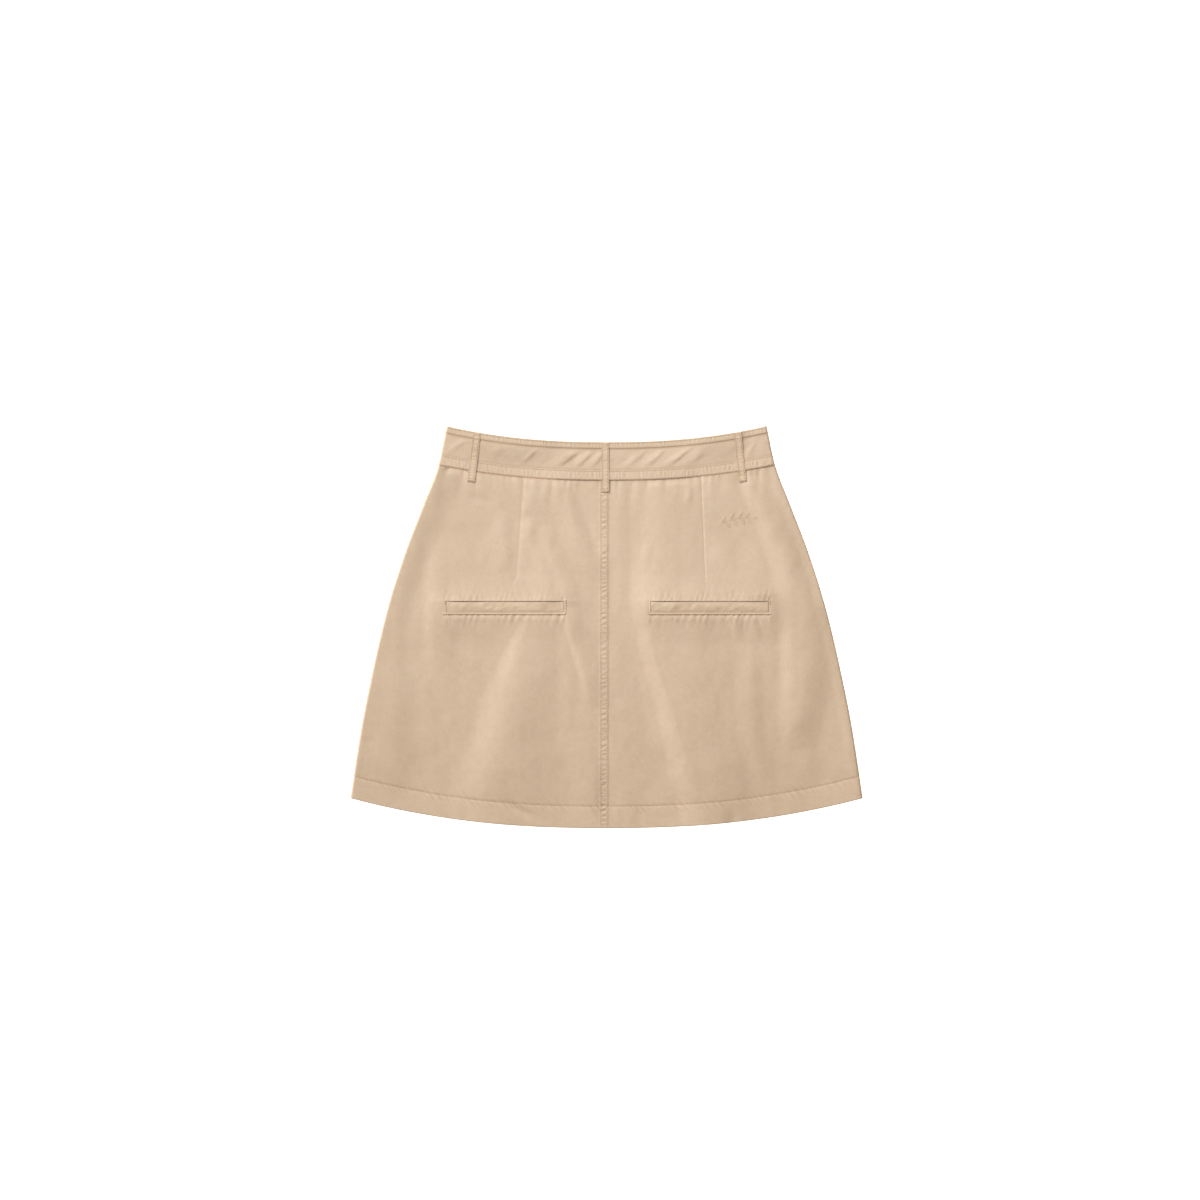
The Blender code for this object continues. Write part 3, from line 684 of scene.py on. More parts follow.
def new_piece(name, points, faces, material, uv=None, wear=None, centred=True):
    """A mesh from arrays: points in millimetres, one array of faces for each number of corners."""
    corners = np.concatenate([f.ravel() for f in faces])
    sizes = np.concatenate([np.full(len(f), f.shape[1]) for f in faces])
    used, corners = np.unique(corners, return_inverse=True)
    points = points[used]
    if centred:
        points = points - (0.0, MID_UP, 0.0)
    mesh = bpy.data.meshes.new(name)
    mesh.vertices.add(len(points))
    mesh.vertices.foreach_set("co", (points * MM).astype(np.float32).ravel())
    mesh.loops.add(len(corners))
    mesh.loops.foreach_set("vertex_index", corners.astype(np.int32).ravel())
    mesh.polygons.add(len(sizes))
    starts = np.concatenate([[0], np.cumsum(sizes)[:-1]])
    mesh.polygons.foreach_set("loop_start", starts.astype(np.int32))
    mesh.update(calc_edges=True)
    if mesh.validate():
        raise RuntimeError(f"{name}: its mesh had faults")
    if uv is not None:
        layer = mesh.uv_layers.new(name="cloth")
        layer.uv.foreach_set("vector", (uv[used][corners.ravel()] * MM).astype(np.float32).ravel())
    # Wear and painted shade for each point: ridges rubbed pale, grooves and crevices painted darker as
    # shade
    if wear is not None:
        values = mesh.attributes.new("wear", "FLOAT", "POINT")
        values.data.foreach_set("value", wear[used].astype(np.float32))
    mesh.materials.append(finish_named(material))
    mesh.shade_smooth()
    mesh.set_sharp_from_angle(angle=radians(50))
    made = bpy.data.objects.new(name, mesh)
    bpy.context.scene.collection.objects.link(made)
    return made


def cloth_piece(node, grids, detail, slot, keep=None, down=False):
    """A closed cloth wall from outer X, up and Z and inner X and Z, standing for a CAD node.

    Wear and shade follows the fine relief of each point: seams' ridges rub pale, and their
    grooves and crevices are painted darker as shade.
    """
    x, up, z, inner_x, inner_z = grids
    outer = np.stack([x, up, z], axis=-1)
    inner = np.stack([inner_x, up, inner_z], axis=-1)[::2, ::2]
    faces = shell(outer, inner, keep)
    if down:
        faces = [f[:, ::-1] for f in faces]
    points = np.concatenate([outer.reshape(-1, 3), inner.reshape(-1, 3)])
    uv = np.concatenate([rolled_uv(x, up, z).reshape(-1, 2), inner[..., :2].reshape(-1, 2)])
    wear = np.concatenate([detail.ravel(), np.zeros(inner.shape[0] * inner.shape[1])])
    made = new_piece(f"{node}_cloth", points, faces, SLOT_CLOTHS[slot], uv, wear)
    made["cut_area"] = outline_area(x, up)
    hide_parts(node)
    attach(made, "root")
    return made


def outline_area(x, up):
    """Area inside a grid's outline: half the sum of the cross products round it."""
    x, up = [np.concatenate([g[0, :-1], g[:-1, -1], g[-1, :0:-1], g[:0:-1, 0]]) for g in (x, up)]
    return float(abs(np.sum(x * np.roll(up, -1) - up * np.roll(x, -1))) / 2)


def declare_cloth():
    """Takes each cloth piece's cut area off it again."""
    for cut in CUTS:
        piece = bpy.data.objects[f"{cut.node}_cloth"]
        del piece["cut_area"]


def rolled_uv(x, up, z):
    """Distance along the cloth and up: X itself, stretched by the fall of the cloth at a side."""
    across, fall = np.diff(x, axis=1), np.diff(z, axis=1)
    step = np.hypot(across, np.where(np.abs(fall) > np.abs(across), fall, 0))
    along = np.concatenate([np.zeros((len(x), 1)), np.cumsum(step, axis=1)], axis=1)
    middle = np.argmin(np.abs(x), axis=1)
    here = np.take_along_axis(along, middle[:, None], axis=1)
    start = np.take_along_axis(x, middle[:, None], axis=1)
    return np.stack([along - here + start, up], axis=-1)


# ---------------------------------------------------------------- the back panels

# Heights of the relief that sewing leaves, and shares of the deepest crevice's painted shade
HEM_PUCKER = 0.10
HEM_GROOVE = 0.09
STRIP_PUCKER = 0.24
STRIP_GROOVE = 0.08
DART_GROOVE = 0.06
WELT_RIDGE = 0.26
WELT_GROOVE = 0.22
WELT_LEDGE = 0.12
PUCKER_OVER = 0.11
PUCKER_UNDER = 0.15
WAIST_PUCKERS = (0.10, 0.12)
SEAM_PUCKER = 0.04
EDGE_SHADE = 0.3
HEM_SHADE = 0.1
SEAM_SHADE = 0.08
STRIP_SHADE = 0.03


def hem_detail(x, row):
    """The hem's stitch groove, with slanting puckers on the turning below it."""
    off = row - HEM_STITCH
    puckers = ripple(x + 0.8 * off, 6.6, 11) * (1 + 0.4 * ripple(x, 41, 12))
    puckers = HEM_PUCKER * puckers * bell((off + 3.5) / 3.4) + 0.04 * puckers * bell((off - 3) / 5)
    small = 0.07 * ripple(x - 0.4 * off, 2.9, 13) * bell(off / 2.2)
    groove = HEM_GROOVE * bell(off / np.where(off > 0, 1.3, 0.7)) * (1 + 0.5 * ripple(x, 2.9, 13))
    return puckers + small - groove


def strip_detail(x, row):
    """The felled centre seam: two stitch grooves with crossing puckers between and beside them."""
    in_from = STRIP_EDGE - x
    middle = in_from - 4.7
    puckers = 0.9 * ripple(row + 0.2 * middle, 5.2, 21) + 0.45 * ripple(row - 0.7 * middle, 5.2, 22)
    beside = bell((in_from - 10) / 2.6) * ripple(row, 7.2, 21)
    grooves = bell((in_from - STRIP_STITCHES[0]) / 0.6) + bell((in_from - STRIP_STITCHES[1]) / 0.6)
    return STRIP_PUCKER * hump(middle / 4.0) * puckers + 0.03 * beside - STRIP_GROOVE * grooves


def dart_detail(x, row, dart):
    """A dart: a pressed groove down its line, and the cloth raised on the right of it.

    The left dart bends outwards at its tip, and its raised side rises more slowly.
    """
    bend, rise, height = (9.0, 3.6, 0.22) if dart.waist < 0 else (0.0, 1.6, 0.2)
    aside = x - (line_x(dart, row) - bend * ease((262 - row) / 26))
    down = ease((row - DART_TIP + 2) / 30)
    raised = height * ease(aside / rise) * np.exp(-np.clip(aside - rise, 0, None) / 8.5)
    uneven = 1 + 0.35 * ripple(row, 13, 25)
    groove = DART_GROOVE * bell((aside + 0.4) / 0.6) * ease((row - DART_TIP - 6) / 45)
    return down * raised * uneven - groove


def frame_distance(x, row, ends, toward):
    """Distance out from a welt's window below it and past its inner end, round the corner."""
    inner = max(ends, key=lambda end: end * toward)
    past = (x - inner) * toward
    below = WELT_LOW - row
    return np.hypot(np.clip(past, 0, None), np.clip(below, 0, None)), past, below


def welt_detail(x, row, ends, toward):
    """Round a welt: a stitched frame below it and past its inner end, and puckers above and below."""
    out, past, below = frame_distance(x, row, ends, toward)
    inside = within(x, ends, 4, 3)
    beside = ease((WELT_HIGH + 2.5 - row) / 1.5)
    framed = inside * beside * ((past > 0) | (below > 0))
    ridge = WELT_RIDGE * hump((out - 1.1) / 1.2) * (1 + 0.4 * ripple(x + row, 2.9, 31))
    groove = WELT_GROOVE * bell((out - WELT_STITCH) / np.where(out > WELT_STITCH, 1.1, 0.5))
    ledge = WELT_LEDGE * hump((below - 6.5) / 4) * inside * (1 + 0.8 * ripple(x, 9.0, 36))
    above = row - WELT_HIGH
    lift = ripple(x - 0.3 * above, 5.3, 32) + 0.7 * ripple(x + 0.25 * above, 8.1, 33)
    over = np.where(above > 0, bell(above / 9.5), 0)
    under = np.where(below > WELT_STITCH, bell((below - WELT_STITCH) / 10.0), 0)
    hang = ripple(x + 0.25 * below, 7.4, 34) + 0.5 * ripple(x - 0.3 * below, 4.6, 35)
    puckers = PUCKER_OVER * over * lift + PUCKER_UNDER * under * hang
    return framed * (ridge - groove) + ledge + inside * puckers


def waist_detail(x, row):
    """Puckers that hang from the waist seam and die away below it."""
    below = WAIST_SEAM - row
    short = WAIST_PUCKERS[0] * ripple(x, 7.7, 41) * bell(below / 10)
    long = WAIST_PUCKERS[1] * ripple(x + 0.1 * below, 16.0, 42) * bell(below / 24)
    return short + long * ease(below / 4)


def seam_side_detail(x, row):
    """Faint puckers on the right panel, which die away from the centre seam."""
    off = x - CENTRE_SEAM - SEAM_GAP / 2
    return SEAM_PUCKER * ripple(row, 7.2, 21) * np.exp(-off / 4.0)


def painted_crevice_shade(x, row, half, ends):
    """Painted shade of a panel's sunk edges: round its window, at its seams and at its stitches."""
    low, high = ends
    aside = np.clip(np.maximum(low - x, x - high), 0, None)
    beyond = np.clip(np.maximum(WELT_LOW - row, row - WELT_HIGH), 0, None)
    out = frame_distance(x, row, ends, -half.side)[0]
    near = within(x, ends, 4, 3) * (row < WELT_HIGH + 1)
    crevice_shades = [
        EDGE_SHADE * bell(np.hypot(aside, beyond) / 0.6),
        EDGE_SHADE * near * bell((out - WELT_STITCH) / 0.6),
        EDGE_SHADE * bell((WAIST_SEAM - row) / 0.9),
        HEM_SHADE * bell((row - HEM_STITCH) / 0.7),
        SEAM_SHADE * bell((x - CENTRE_SEAM) / 0.5),
    ]
    if half is LEFT:
        crevice_shades += [STRIP_SHADE * bell((CENTRE_SEAM - x - stitch) / 0.6) for stitch in STRIP_STITCHES]
    return CREVICE_SHADE * np.maximum.reduce(crevice_shades)


def panel_face(x, row, half):
    """Level of a back panel's outer face at points in its rows, its fine part with painted shade and the
    inside.
    """
    dart = next(line for line in half.lines if line.name == "dart")
    ends = welt_ends(half.lines)
    detail = hem_detail(x, row) + dart_detail(x, row, dart) + waist_detail(x, row)
    detail = detail + welt_detail(x, row, ends, -half.side)
    base = skin(x, bent_up(x, row)) + mouth_lip(x, row, ends)
    turned = 1 - ease((row - HEM_STITCH + 4.2) / 4.2)
    raised = turned * HEM_RAISE + HEM_TILT * np.clip(1 - row / HEM_DEEP, 0, 1)
    if half is LEFT:
        in_from = STRIP_EDGE - x
        raised = raised + STRIP_RAISE * ease((STRIP_WIDE + 1.4 - in_from) / 2.0)
        detail = detail + strip_detail(x, row)
        raised = raised - edge_drop(in_from, 0.8, 0.05)
    else:
        detail = detail + seam_side_detail(x, row)
    fall = edge_drop(row, EDGE_ROUND, (WALL + HEM_RAISE) / 2 - 0.08)
    # The fine relief, with its crevices painted darker as shade
    wear = detail - painted_crevice_shade(x, row, half, ends)
    return base + raised + detail - fall, wear, base - WALL + fall


def panel_rows():
    """Rows of a panel, close together at the hem, at the stitches and at the welt."""
    stitch = HEM_STITCH
    return joined(
        rounded_places(0.0, 1, EDGE_ROUND),
        graded((EDGE_ROUND, 0.6), (6, 1.2), (18, 1.0), (stitch - 2.6, 0.6), (stitch, 0.34), (29, 1.1)),
        graded((29, 1.2), (210, 1.2), (WELT_LOW - 3.5, 0.7), (WELT_LOW, 0.4)),
        graded((WELT_LOW, 0.6), (WELT_LOW + 6, 1.4), (WELT_HIGH, 0.6)),
        graded((WELT_HIGH, 0.5), (WELT_HIGH + 5, 1.1), (WAIST_SEAM - 9, 1.2), (WAIST_SEAM, 0.6)),
    )


def panel_columns(rows, half):
    """X of the flat part's points: columns follow the side, the welt's ends, the dart and the seam."""
    reach = half_width(rows + sweep(rows)) - ROLL
    side = half_width(WELT_LOW) - ROLL
    first, dart, last = [line_x(line, rows) for line in half.lines]
    x0, x1, x2 = [line.pocket for line in half.lines]
    upright = np.ones_like(rows)
    if half is LEFT:
        strip, edge = STRIP_EDGE - STRIP_WIDE - 2, STRIP_EDGE - 0.7
        stops = graded((x2, 0.45), (x2 + 4, 0.8), (strip - 6, 1.5), (strip, 0.7))
        return joined(
            between(-reach, first, graded((-side, 2.0), (x0 - 8, 1.7), (x0, 0.5))),
            between(first, dart, graded((x0, 0.5), (x0 + 5, 1.4), (x1 - 5, 1.4), (x1, 0.35))),
            between(dart, last, graded((x1, 0.35), (x1 + 5, 1.4), (x2 - 4, 1.3), (x2, 0.45))),
            between(last, strip * upright, stops),
            between(strip * upright, edge * upright, graded((strip, 0.6), (edge, 0.45))),
            rounded_places(STRIP_EDGE, -1, 0.7)[None, ::-1] + 0 * rows[:, None],
        )
    seam = CENTRE_SEAM + SEAM_GAP / 2
    stops = graded((seam, 0.35), (seam + 6, 1.1), (x0 - 4, 1.3), (x0, 0.45))
    return joined(
        between(seam * upright, first, stops),
        between(first, dart, graded((x0, 0.45), (x0 + 4, 1.3), (x1 - 5, 1.4), (x1, 0.35))),
        between(dart, last, graded((x1, 0.35), (x1 + 5, 1.4), (x2 - 5, 1.4), (x2, 0.5))),
        between(last, reach, graded((x2, 0.5), (x2 + 8, 1.6), (side, 1.9))),
    )


def back_panel(half):
    """Half of the back in its rows and columns, rolled at its side, with the welt's window cut."""
    rows = panel_rows()
    flat_x = panel_columns(rows, half)
    z, detail, inner_z = panel_face(flat_x, rows[:, None] + 0 * flat_x, half)
    grids = panel_grids(rows, flat_x, z, inner_z, SIDE_SEAM_Z + GAP / 2, half.side)
    x = (grids[0][:-2:2, :-2:2] + grids[0][2::2, 2::2]) / 2
    row = ((rows[:-2:2] + rows[2::2]) / 2)[:, None]
    low, high = welt_ends(half.lines)
    window = (row > WELT_LOW) & (row < WELT_HIGH) & (x > low) & (x < high)
    detail = with_roll(detail, [half.side])
    return cloth_piece(f"back_{half.word}", grids, detail, "twill", keep=~window)


# ---------------------------------------------------------------- welts


def welt_face(x, up, ends):
    """Level of a welt: a puffed strip with wrinkles across it, rounded over at its top edge."""
    low, high = ends
    top = WELT_HIGH - 0.5
    across = np.clip((up - WELT_LOW - WELT_GAP) / (top - WELT_LOW - WELT_GAP), 0, 1)
    along = (x - low) / (high - low)
    puff = WELT_PUFF * np.sin(np.pi * across) * (1 - (2 * along - 1) ** 8)
    wrinkles = cloudy(x - 0.5 * up, 0.9 * up, 51, 4.6) + 0.6 * ripple(x - 0.4 * up, 9.9, 52)
    detail = 0.09 * wrinkles * np.sin(np.pi * across) - 0.12 * bell((up - WELT_LOW - 1.0) / 0.5)
    # Painted shade along the welt's top and bottom edges and its two ends
    painted_shade = np.maximum(0.15 * bell((top - up) / 0.9), 0.35 * bell((up - WELT_LOW) / 0.8))
    painted_shade = np.maximum(painted_shade, 0.2 * bell(np.minimum(x - low, high - x) / 0.7))
    return skin(x, up) - WELT_PUFF / 2 + puff + detail, 0.6 * detail - CREVICE_SHADE * painted_shade


def mouth(x, ends):
    """How far the pocket's mouth gapes: most towards its two ends, least in the middle."""
    along = (x - ends[0]) / (ends[1] - ends[0])
    return 0.10 + 0.4 * bell((along - 0.14) / 0.14) + 0.32 * bell((along - 0.92) / 0.09)


def welt(half):
    """A welt in its window, up to the pocket's mouth, with three rounded edges."""
    ends = welt_ends(half.lines)
    low, high = ends[0] + WELT_GAP, ends[1] - WELT_GAP
    stops = graded((low + 0.6, 0.5), (low + 4, 1.0), (high - 4, 1.0), (high - 0.6, 0.5))
    xs = edged(low, high, 0.6, stops)
    stops = graded((0, 0.03), (0.15, 0.06), (0.85, 0.06), (0.93, 0.03))
    shares = joined(stops, 1 - rounded_places(0, 1, 0.07)[::-1])[:, None]
    x = xs[None, :] + 0 * shares
    bottom = WELT_LOW + WELT_GAP
    up = bottom + shares * (WELT_HIGH - mouth(x, ends) - bottom)
    z, detail = welt_face(x, up, ends)
    inward = np.minimum(x - low, high - x)
    from_top = (1 - shares) * WELT_DEEP
    z = z - edge_drop(from_top, 0.8, 0.7) - edge_drop(inward, 0.6, 0.5)
    inner_z = skin(x, up) - WELT_PUFF / 2 - WELT_WALL + edge_drop(from_top, 0.8, 0.6)
    return cloth_piece(f"welt_{half.word}", (x, up, z, x, inner_z), detail, "trim_twill")


# ---------------------------------------------------------------- the waistband


def band_edges(x):
    """Up of the waistband's lower and top edge at each X."""
    low = WAIST_SEAM + SEAM_GAP + seam_rise(x)
    high = CENTRE_BACK + TOP_SWEEP * np.abs(x / (WAIST_FLAT / 2)) ** SWEEP_POWER
    return low, high


def band_up(x, above):
    """Up of points at heights above the waistband's lower edge."""
    low, high = band_edges(x)
    return low + (high - low) * above / WAISTBAND_DEEP


def band_drags(x, above):
    """The band's lean and its slanting drag lines, highest midway between its two strips."""
    across = (above - LOWER_STRIP) / (WAISTBAND_DEEP - LOWER_STRIP - TOP_STRIP)
    inside = ease(2.2 * across) * ease(2.2 * (1 - across))
    lean = followed(x, BAND_LEANS, "x", "height")[0]
    z = lean * (ease(across) - 0.5) + BAND_RISE * ease((x - BAND_RISE_X) / 14)
    for drag in BAND_DRAGS:
        aside = x - drag.low_x - (drag.high_x - drag.low_x) * across
        z = z + drag.height * inside * flanked(aside, drag.left_flank, drag.right_flank)
    return z


def band_detail(x, above):
    """Stitch grooves, fine puckers in both strips and a ditch inside each strip."""
    grooves = sum(bell((above - row) / 0.5) for row in BAND_STITCHES)
    lower = hump((above - 5.2) / 5.6)
    top = hump((above - 36.6) / 3.9)
    puckers = 0.12 * lower * ripple(x + 0.2 * above, 3.7, 61)
    puckers = puckers + 0.06 * lower * ripple(x - 0.6 * above, 6.1, 64)
    puckers = puckers + 0.11 * top * ripple(x, 3.9, 62)
    ditches = bell((above - LOWER_STRIP - 0.6) / 0.8) * 0.13
    ditches = ditches + bell((above - WAISTBAND_DEEP + TOP_STRIP + 1.3) / 1.6) * 0.17
    middle = hump((above - 21.8) / 13)
    waves = 0.05 * cloudy(x - 0.8 * above, 0.8 * above, 63, 9) + 0.035 * cloudy(x - above, above, 65, 4)
    return puckers + middle * waves - 0.14 * grooves - ditches


def band_raise(above):
    """The two strips stand proud of the band, with soft steps."""
    lower = ease((LOWER_STRIP + 0.8 - above) / 0.9)
    top = ease((above - WAISTBAND_DEEP + TOP_STRIP + 0.9) / 1.3)
    tilt = BAND_TILT * (np.clip(LOWER_STRIP - above, 0, None) - LOWER_STRIP / 2 * lower)
    return LOWER_RAISE * lower + TOP_RAISE * top + tilt


def band_face(x, above):
    """Level of the back waistband's face, and the fine part of it with painted shade at its lower edge.
    """
    detail = band_detail(x, above)
    z = BAND_Z + band_drags(x, above) + band_raise(above) + detail
    z = z - edge_drop(above, 1.2, 0.7) - edge_drop(WAISTBAND_DEEP - above, EDGE_ROUND, 1.15)
    # Painted shade along the band's lower edge, where it stands over the panel
    return z, detail - EDGE_SHADE * CREVICE_SHADE * bell(above / 0.8)


def band_heights():
    """Heights of the band's rows above its lower edge."""
    return joined(
        rounded_places(0.0, 1, 1.0),
        graded((1.0, 0.3), (1.6, 0.3), (3, 0.9), (7.5, 0.9), (9.3, 0.3), (10.3, 0.3), (13, 0.9)),
        graded((13, 0.95), (29, 0.95), (31, 0.5), (33.8, 0.4), (36, 0.8), (38, 0.3), (39.1, 0.35)),
        rounded_places(WAISTBAND_DEEP, -1, EDGE_ROUND)[::-1],
    )


def band_columns(xs, heights):
    """X of the band's points: its columns lean out as the band widens downwards."""
    shares = heights / WAISTBAND_DEEP
    side_low = WAIST_SEAM + GAP + SEAM_SWEEP
    width = half_width(side_low + (SIDE_LONG - side_low) * shares)
    spread_out = (width[:, None] - ROLL) / (WAIST_FLAT / 2 - ROLL) - 1
    return xs * (1 + spread_out * np.abs(xs / (WAIST_FLAT / 2 - ROLL))), width


def band_grids(xs, face, under, level, sides):
    """A waistband's grids and fine relief, from its face and from the levels under it."""
    heights = band_heights()
    x, width = band_columns(xs, heights)
    above = heights[:, None] + 0 * x
    z, detail = face(x, above)
    x, z, inner_x, inner_z = rolled(x, z, under(x, above), width, level, sides)
    return (x, band_up(x, heights[:, None]), z, inner_x, inner_z), with_roll(detail, sides)


def waistband_back():
    """The band across the back, rolled at both sides."""
    reach = WAIST_FLAT / 2 - ROLL

    def under(x, above):
        return BAND_UNDER + edge_drop(WAISTBAND_DEEP - above, EDGE_ROUND, 0.9)

    xs = graded((-reach, 0.6), (reach, 0.6))
    grids, detail = band_grids(xs, band_face, under, SIDE_SEAM_Z + GAP / 2, (-1, 1))
    return cloth_piece("waistband_back", grids, detail, "waistband_twill")


# ---------------------------------------------------------------- belt loops


def loop_line(spec):
    """The loop's middle line: X and up of its top end, and its steps along and across."""
    top_up = band_edges(spec.top_x)[1] - LOOP_INSET
    drop = np.sqrt(LOOP_LONG**2 - (spec.end_x - spec.top_x) ** 2)
    along = np.array([spec.end_x - spec.top_x, -drop]) / LOOP_LONG
    return np.array([spec.top_x, top_up]), along, np.array([-along[1], along[0]])


def loop_places(spec, lengths, lanes):
    """X and up of places on a loop, from distances down it and lanes across it."""
    start, along, across = loop_line(spec)
    return [start[k] + lengths * along[k] + lanes * across[k] for k in range(2)]


def under_loop(spec, lengths):
    """The highest level that lies across the loop's width at distances down it."""
    x, up = loop_places(spec, lengths[:, None], np.linspace(-0.5, 0.5, 9) * LOOP_WIDE)
    low, high = band_edges(x)
    above = np.clip((up - low) / (high - low) * WAISTBAND_DEEP, 0, WAISTBAND_DEEP - 1)
    on_band = np.where(up > low, band_face(x, above)[0], 0)
    on_panel = skin(x, up) + (STRIP_RAISE + 0.25) * (np.abs(x) < STRIP_WIDE + 2)
    on_panel = on_panel + 0.25 * ease((low - up) / 4)
    return np.maximum(on_band, on_panel).max(axis=1)


def loop_rest(spec, lengths):
    """Level of what lies under the loop: the highest near each place, then evened out."""
    start, along, _ = loop_line(spec)
    edge = (start[1] - band_edges(spec.end_x)[0]) / -along[1]
    offsets = np.linspace(-1.6, 1.6, 9)
    nearby = lengths + offsets[:, None, None] + offsets[None, :, None]
    levels = under_loop(spec, np.clip(nearby, 0, LOOP_LONG).ravel()).reshape(nearby.shape)
    return levels.max(axis=0).mean(axis=0) + LOOP_SLACK * hump((2 * lengths - edge) / edge)


def loop_face(spec, lengths, lanes):
    """Top level of a loop at distances down it and lanes across it, and the fine part with painted
    shade.
    """
    rest = loop_rest(spec, lengths)[:, None]
    down = lengths[:, None]
    seed = 70 + len(spec.name)
    puckers = ripple(down + 0.1 * lanes, 3.3, seed) + 0.5 * ripple(down - 0.25 * lanes, 5.8, seed + 5)
    grooves = bell((np.abs(lanes) - LOOP_STITCH) / 0.4)
    detail = 0.12 * hump(lanes / 3.4) * puckers - 0.10 * grooves
    side = edge_drop(LOOP_WIDE / 2 - np.abs(lanes), 1.0, 0.3)
    ends = edge_drop(down, EDGE_ROUND, 0.3)
    ends = ends + edge_drop(LOOP_LONG - down, EDGE_ROUND, 0.3)
    # Painted shade down the loop's left side, in its stitch grooves and at its lower end
    foot_shade = 0.4 * ease((down - LOOP_LONG + 4) / 3)
    painted_shade = np.maximum(bell((LOOP_WIDE / 2 + lanes) / 0.7), 0.25 * grooves + foot_shade)
    return rest + LOOP_LIFT + LOOP_WALL + detail - np.maximum(side, ends), detail - CREVICE_SHADE * painted_shade


def belt_loop(spec):
    """A loop of cloth that lies over the waistband and the top of the panel."""
    half = LOOP_WIDE / 2
    stops = graded((EDGE_ROUND, 0.5), (LOOP_LONG - EDGE_ROUND, 0.5))
    lengths = edged(0.0, LOOP_LONG, EDGE_ROUND, stops)
    lanes = edged(-half, half, 1.0, graded((1.0 - half, 0.35), (0, 0.5), (half - 1.0, 0.35)))
    x, up = loop_places(spec, lengths[:, None], lanes)
    z, detail = loop_face(spec, lengths, lanes[None, :])
    under = (loop_rest(spec, lengths) + LOOP_LIFT)[:, None] + edge_drop(half - np.abs(lanes), 0.7, 0.05)
    grids = [g[::-1] for g in (x, up, z, x, under)]
    return cloth_piece(spec.name, grids, detail[::-1], "trim_twill")


# ---------------------------------------------------------------- the front


def pocket_x(row):
    """X of the slash pocket's opening at each row: a bowed line from the waist to the side."""
    share = np.clip((WAIST_SEAM - row) / (WAIST_SEAM - POCKET_END), 0, 1)
    end_x = half_width(POCKET_END) - POCKET_EDGE
    slash = POCKET_TOP_X + (end_x - POCKET_TOP_X) * share**POCKET_BOW
    below = half_width(row + sweep(row)) - POCKET_EDGE
    return np.where(row > POCKET_END, slash, below)


def fly_x(row, stitch):
    """X of a fly stitch row: upright, then bending in a quarter ellipse to the centre."""
    end = FLY_END - stitch
    t = np.clip((end - row) / FLY_BEND, 0, 1)
    return stitch * np.sqrt(1 - t**2)


def front_face(x, row, half):
    """Depth of the front's table side: the stitch grooves and pocket steps are cut up into it."""
    out = np.abs(x)
    hem = row - HEM_STITCH
    detail = 0.26 * bell(hem / 0.6) + 0.05 * bell(hem / 6) * (1 + ripple(x + 0.7 * hem, 5.5, 81))
    off = out - pocket_x(row)
    opening = ease((row - POCKET_END + 6) / 6)
    detail = detail + opening * 0.32 * ease((off + 0.3) / 0.6)
    for stitch in POCKET_STITCHES:
        detail = detail + opening * 0.2 * bell((off + stitch) / 0.55)
    if half is RIGHT:
        for stitch in FLY_STITCHES:
            near = (row > FLY_END - stitch - FLY_BEND) & (row < WAIST_SEAM)
            detail = detail + 0.2 * near * bell((out - fly_x(row, stitch)) / 0.6)
    seam = 0.35 * bell(out / 0.8) + 0.18 * bell((WAIST_SEAM - row) / 1.5)
    # The second value is the wear: the grooves are painted darker as shade
    return detail + seam + edge_drop(row, EDGE_ROUND, 0.5), -detail


def front_panel(half):
    """Half of the front: its columns follow the centre, the fly, the pocket's mouth and the side."""
    stops = ((EDGE_ROUND, 0.8), (19, 2.0), (HEM_STITCH, 0.4), (29, 2.0), (100, 2.6))
    rows = joined(
        rounded_places(0.0, 1, EDGE_ROUND),
        graded(*stops, (POCKET_END, 2.0)),
        graded((POCKET_END, 2.0), (WAIST_SEAM - 5, 1.8), (WAIST_SEAM, 0.7)),
    )
    opening = pocket_x(rows)
    start = np.full(len(rows), GAP / 2)
    fly = np.minimum(np.full(len(rows), 45.0), opening - 20)
    columns = joined(
        between(start, fly, graded((0, 0.5), (5, 1.5), (26, 0.8), (40, 0.8), (45, 1.2))),
        between(fly, opening, graded((45, 1.2), (60, 2.6), (175, 2.6), (188, 0.5), (190, 0.4))),
        between(
            opening,
            half_width(rows + sweep(rows)) - ROLL,
            graded((0, 0.4), (2, 0.5), (12, 1.8), (20, 1.8)),
        ),
    )
    x = half.side * columns[:, :: half.side]
    row = rows[:, None] + 0 * x
    z, detail = front_face(x, row, half)
    inner_z = WALL - edge_drop(row, EDGE_ROUND, 0.5)
    grids = panel_grids(rows, x, z, inner_z, SIDE_SEAM_Z - GAP / 2, half.side)
    return cloth_piece(f"front_{half.word}", grids, with_roll(detail, [half.side]), "twill", down=True)


def front_band_face(half):
    """The table side of a front waistband, with the same strips and stitches cut into it."""

    def face(x, above):
        detail = band_detail(x, above)
        z = TOP_RAISE - band_raise(above) - detail * 0.8
        off = np.hypot(x, above - WAISTBAND_DEEP / 2)
        if half is RIGHT:
            lap = ease((LAP_LONG / 2 - np.abs(x)) / 2)
            z = z * (1 - lap) + lap * 0.12
            z = np.maximum(z, 0.86 * ease((BUTTON_WIDE / 2 + 0.5 - off) / 0.5))
        else:
            z = np.where(-x < LAP_LONG / 2 + GAP * 1.5, LAP_WALL + GAP, z)
        z = z + edge_drop(above, 0.6, 0.35) + edge_drop(WAISTBAND_DEEP - above, EDGE_ROUND, 0.35)
        return np.clip(z, 0.02, None), detail

    return face


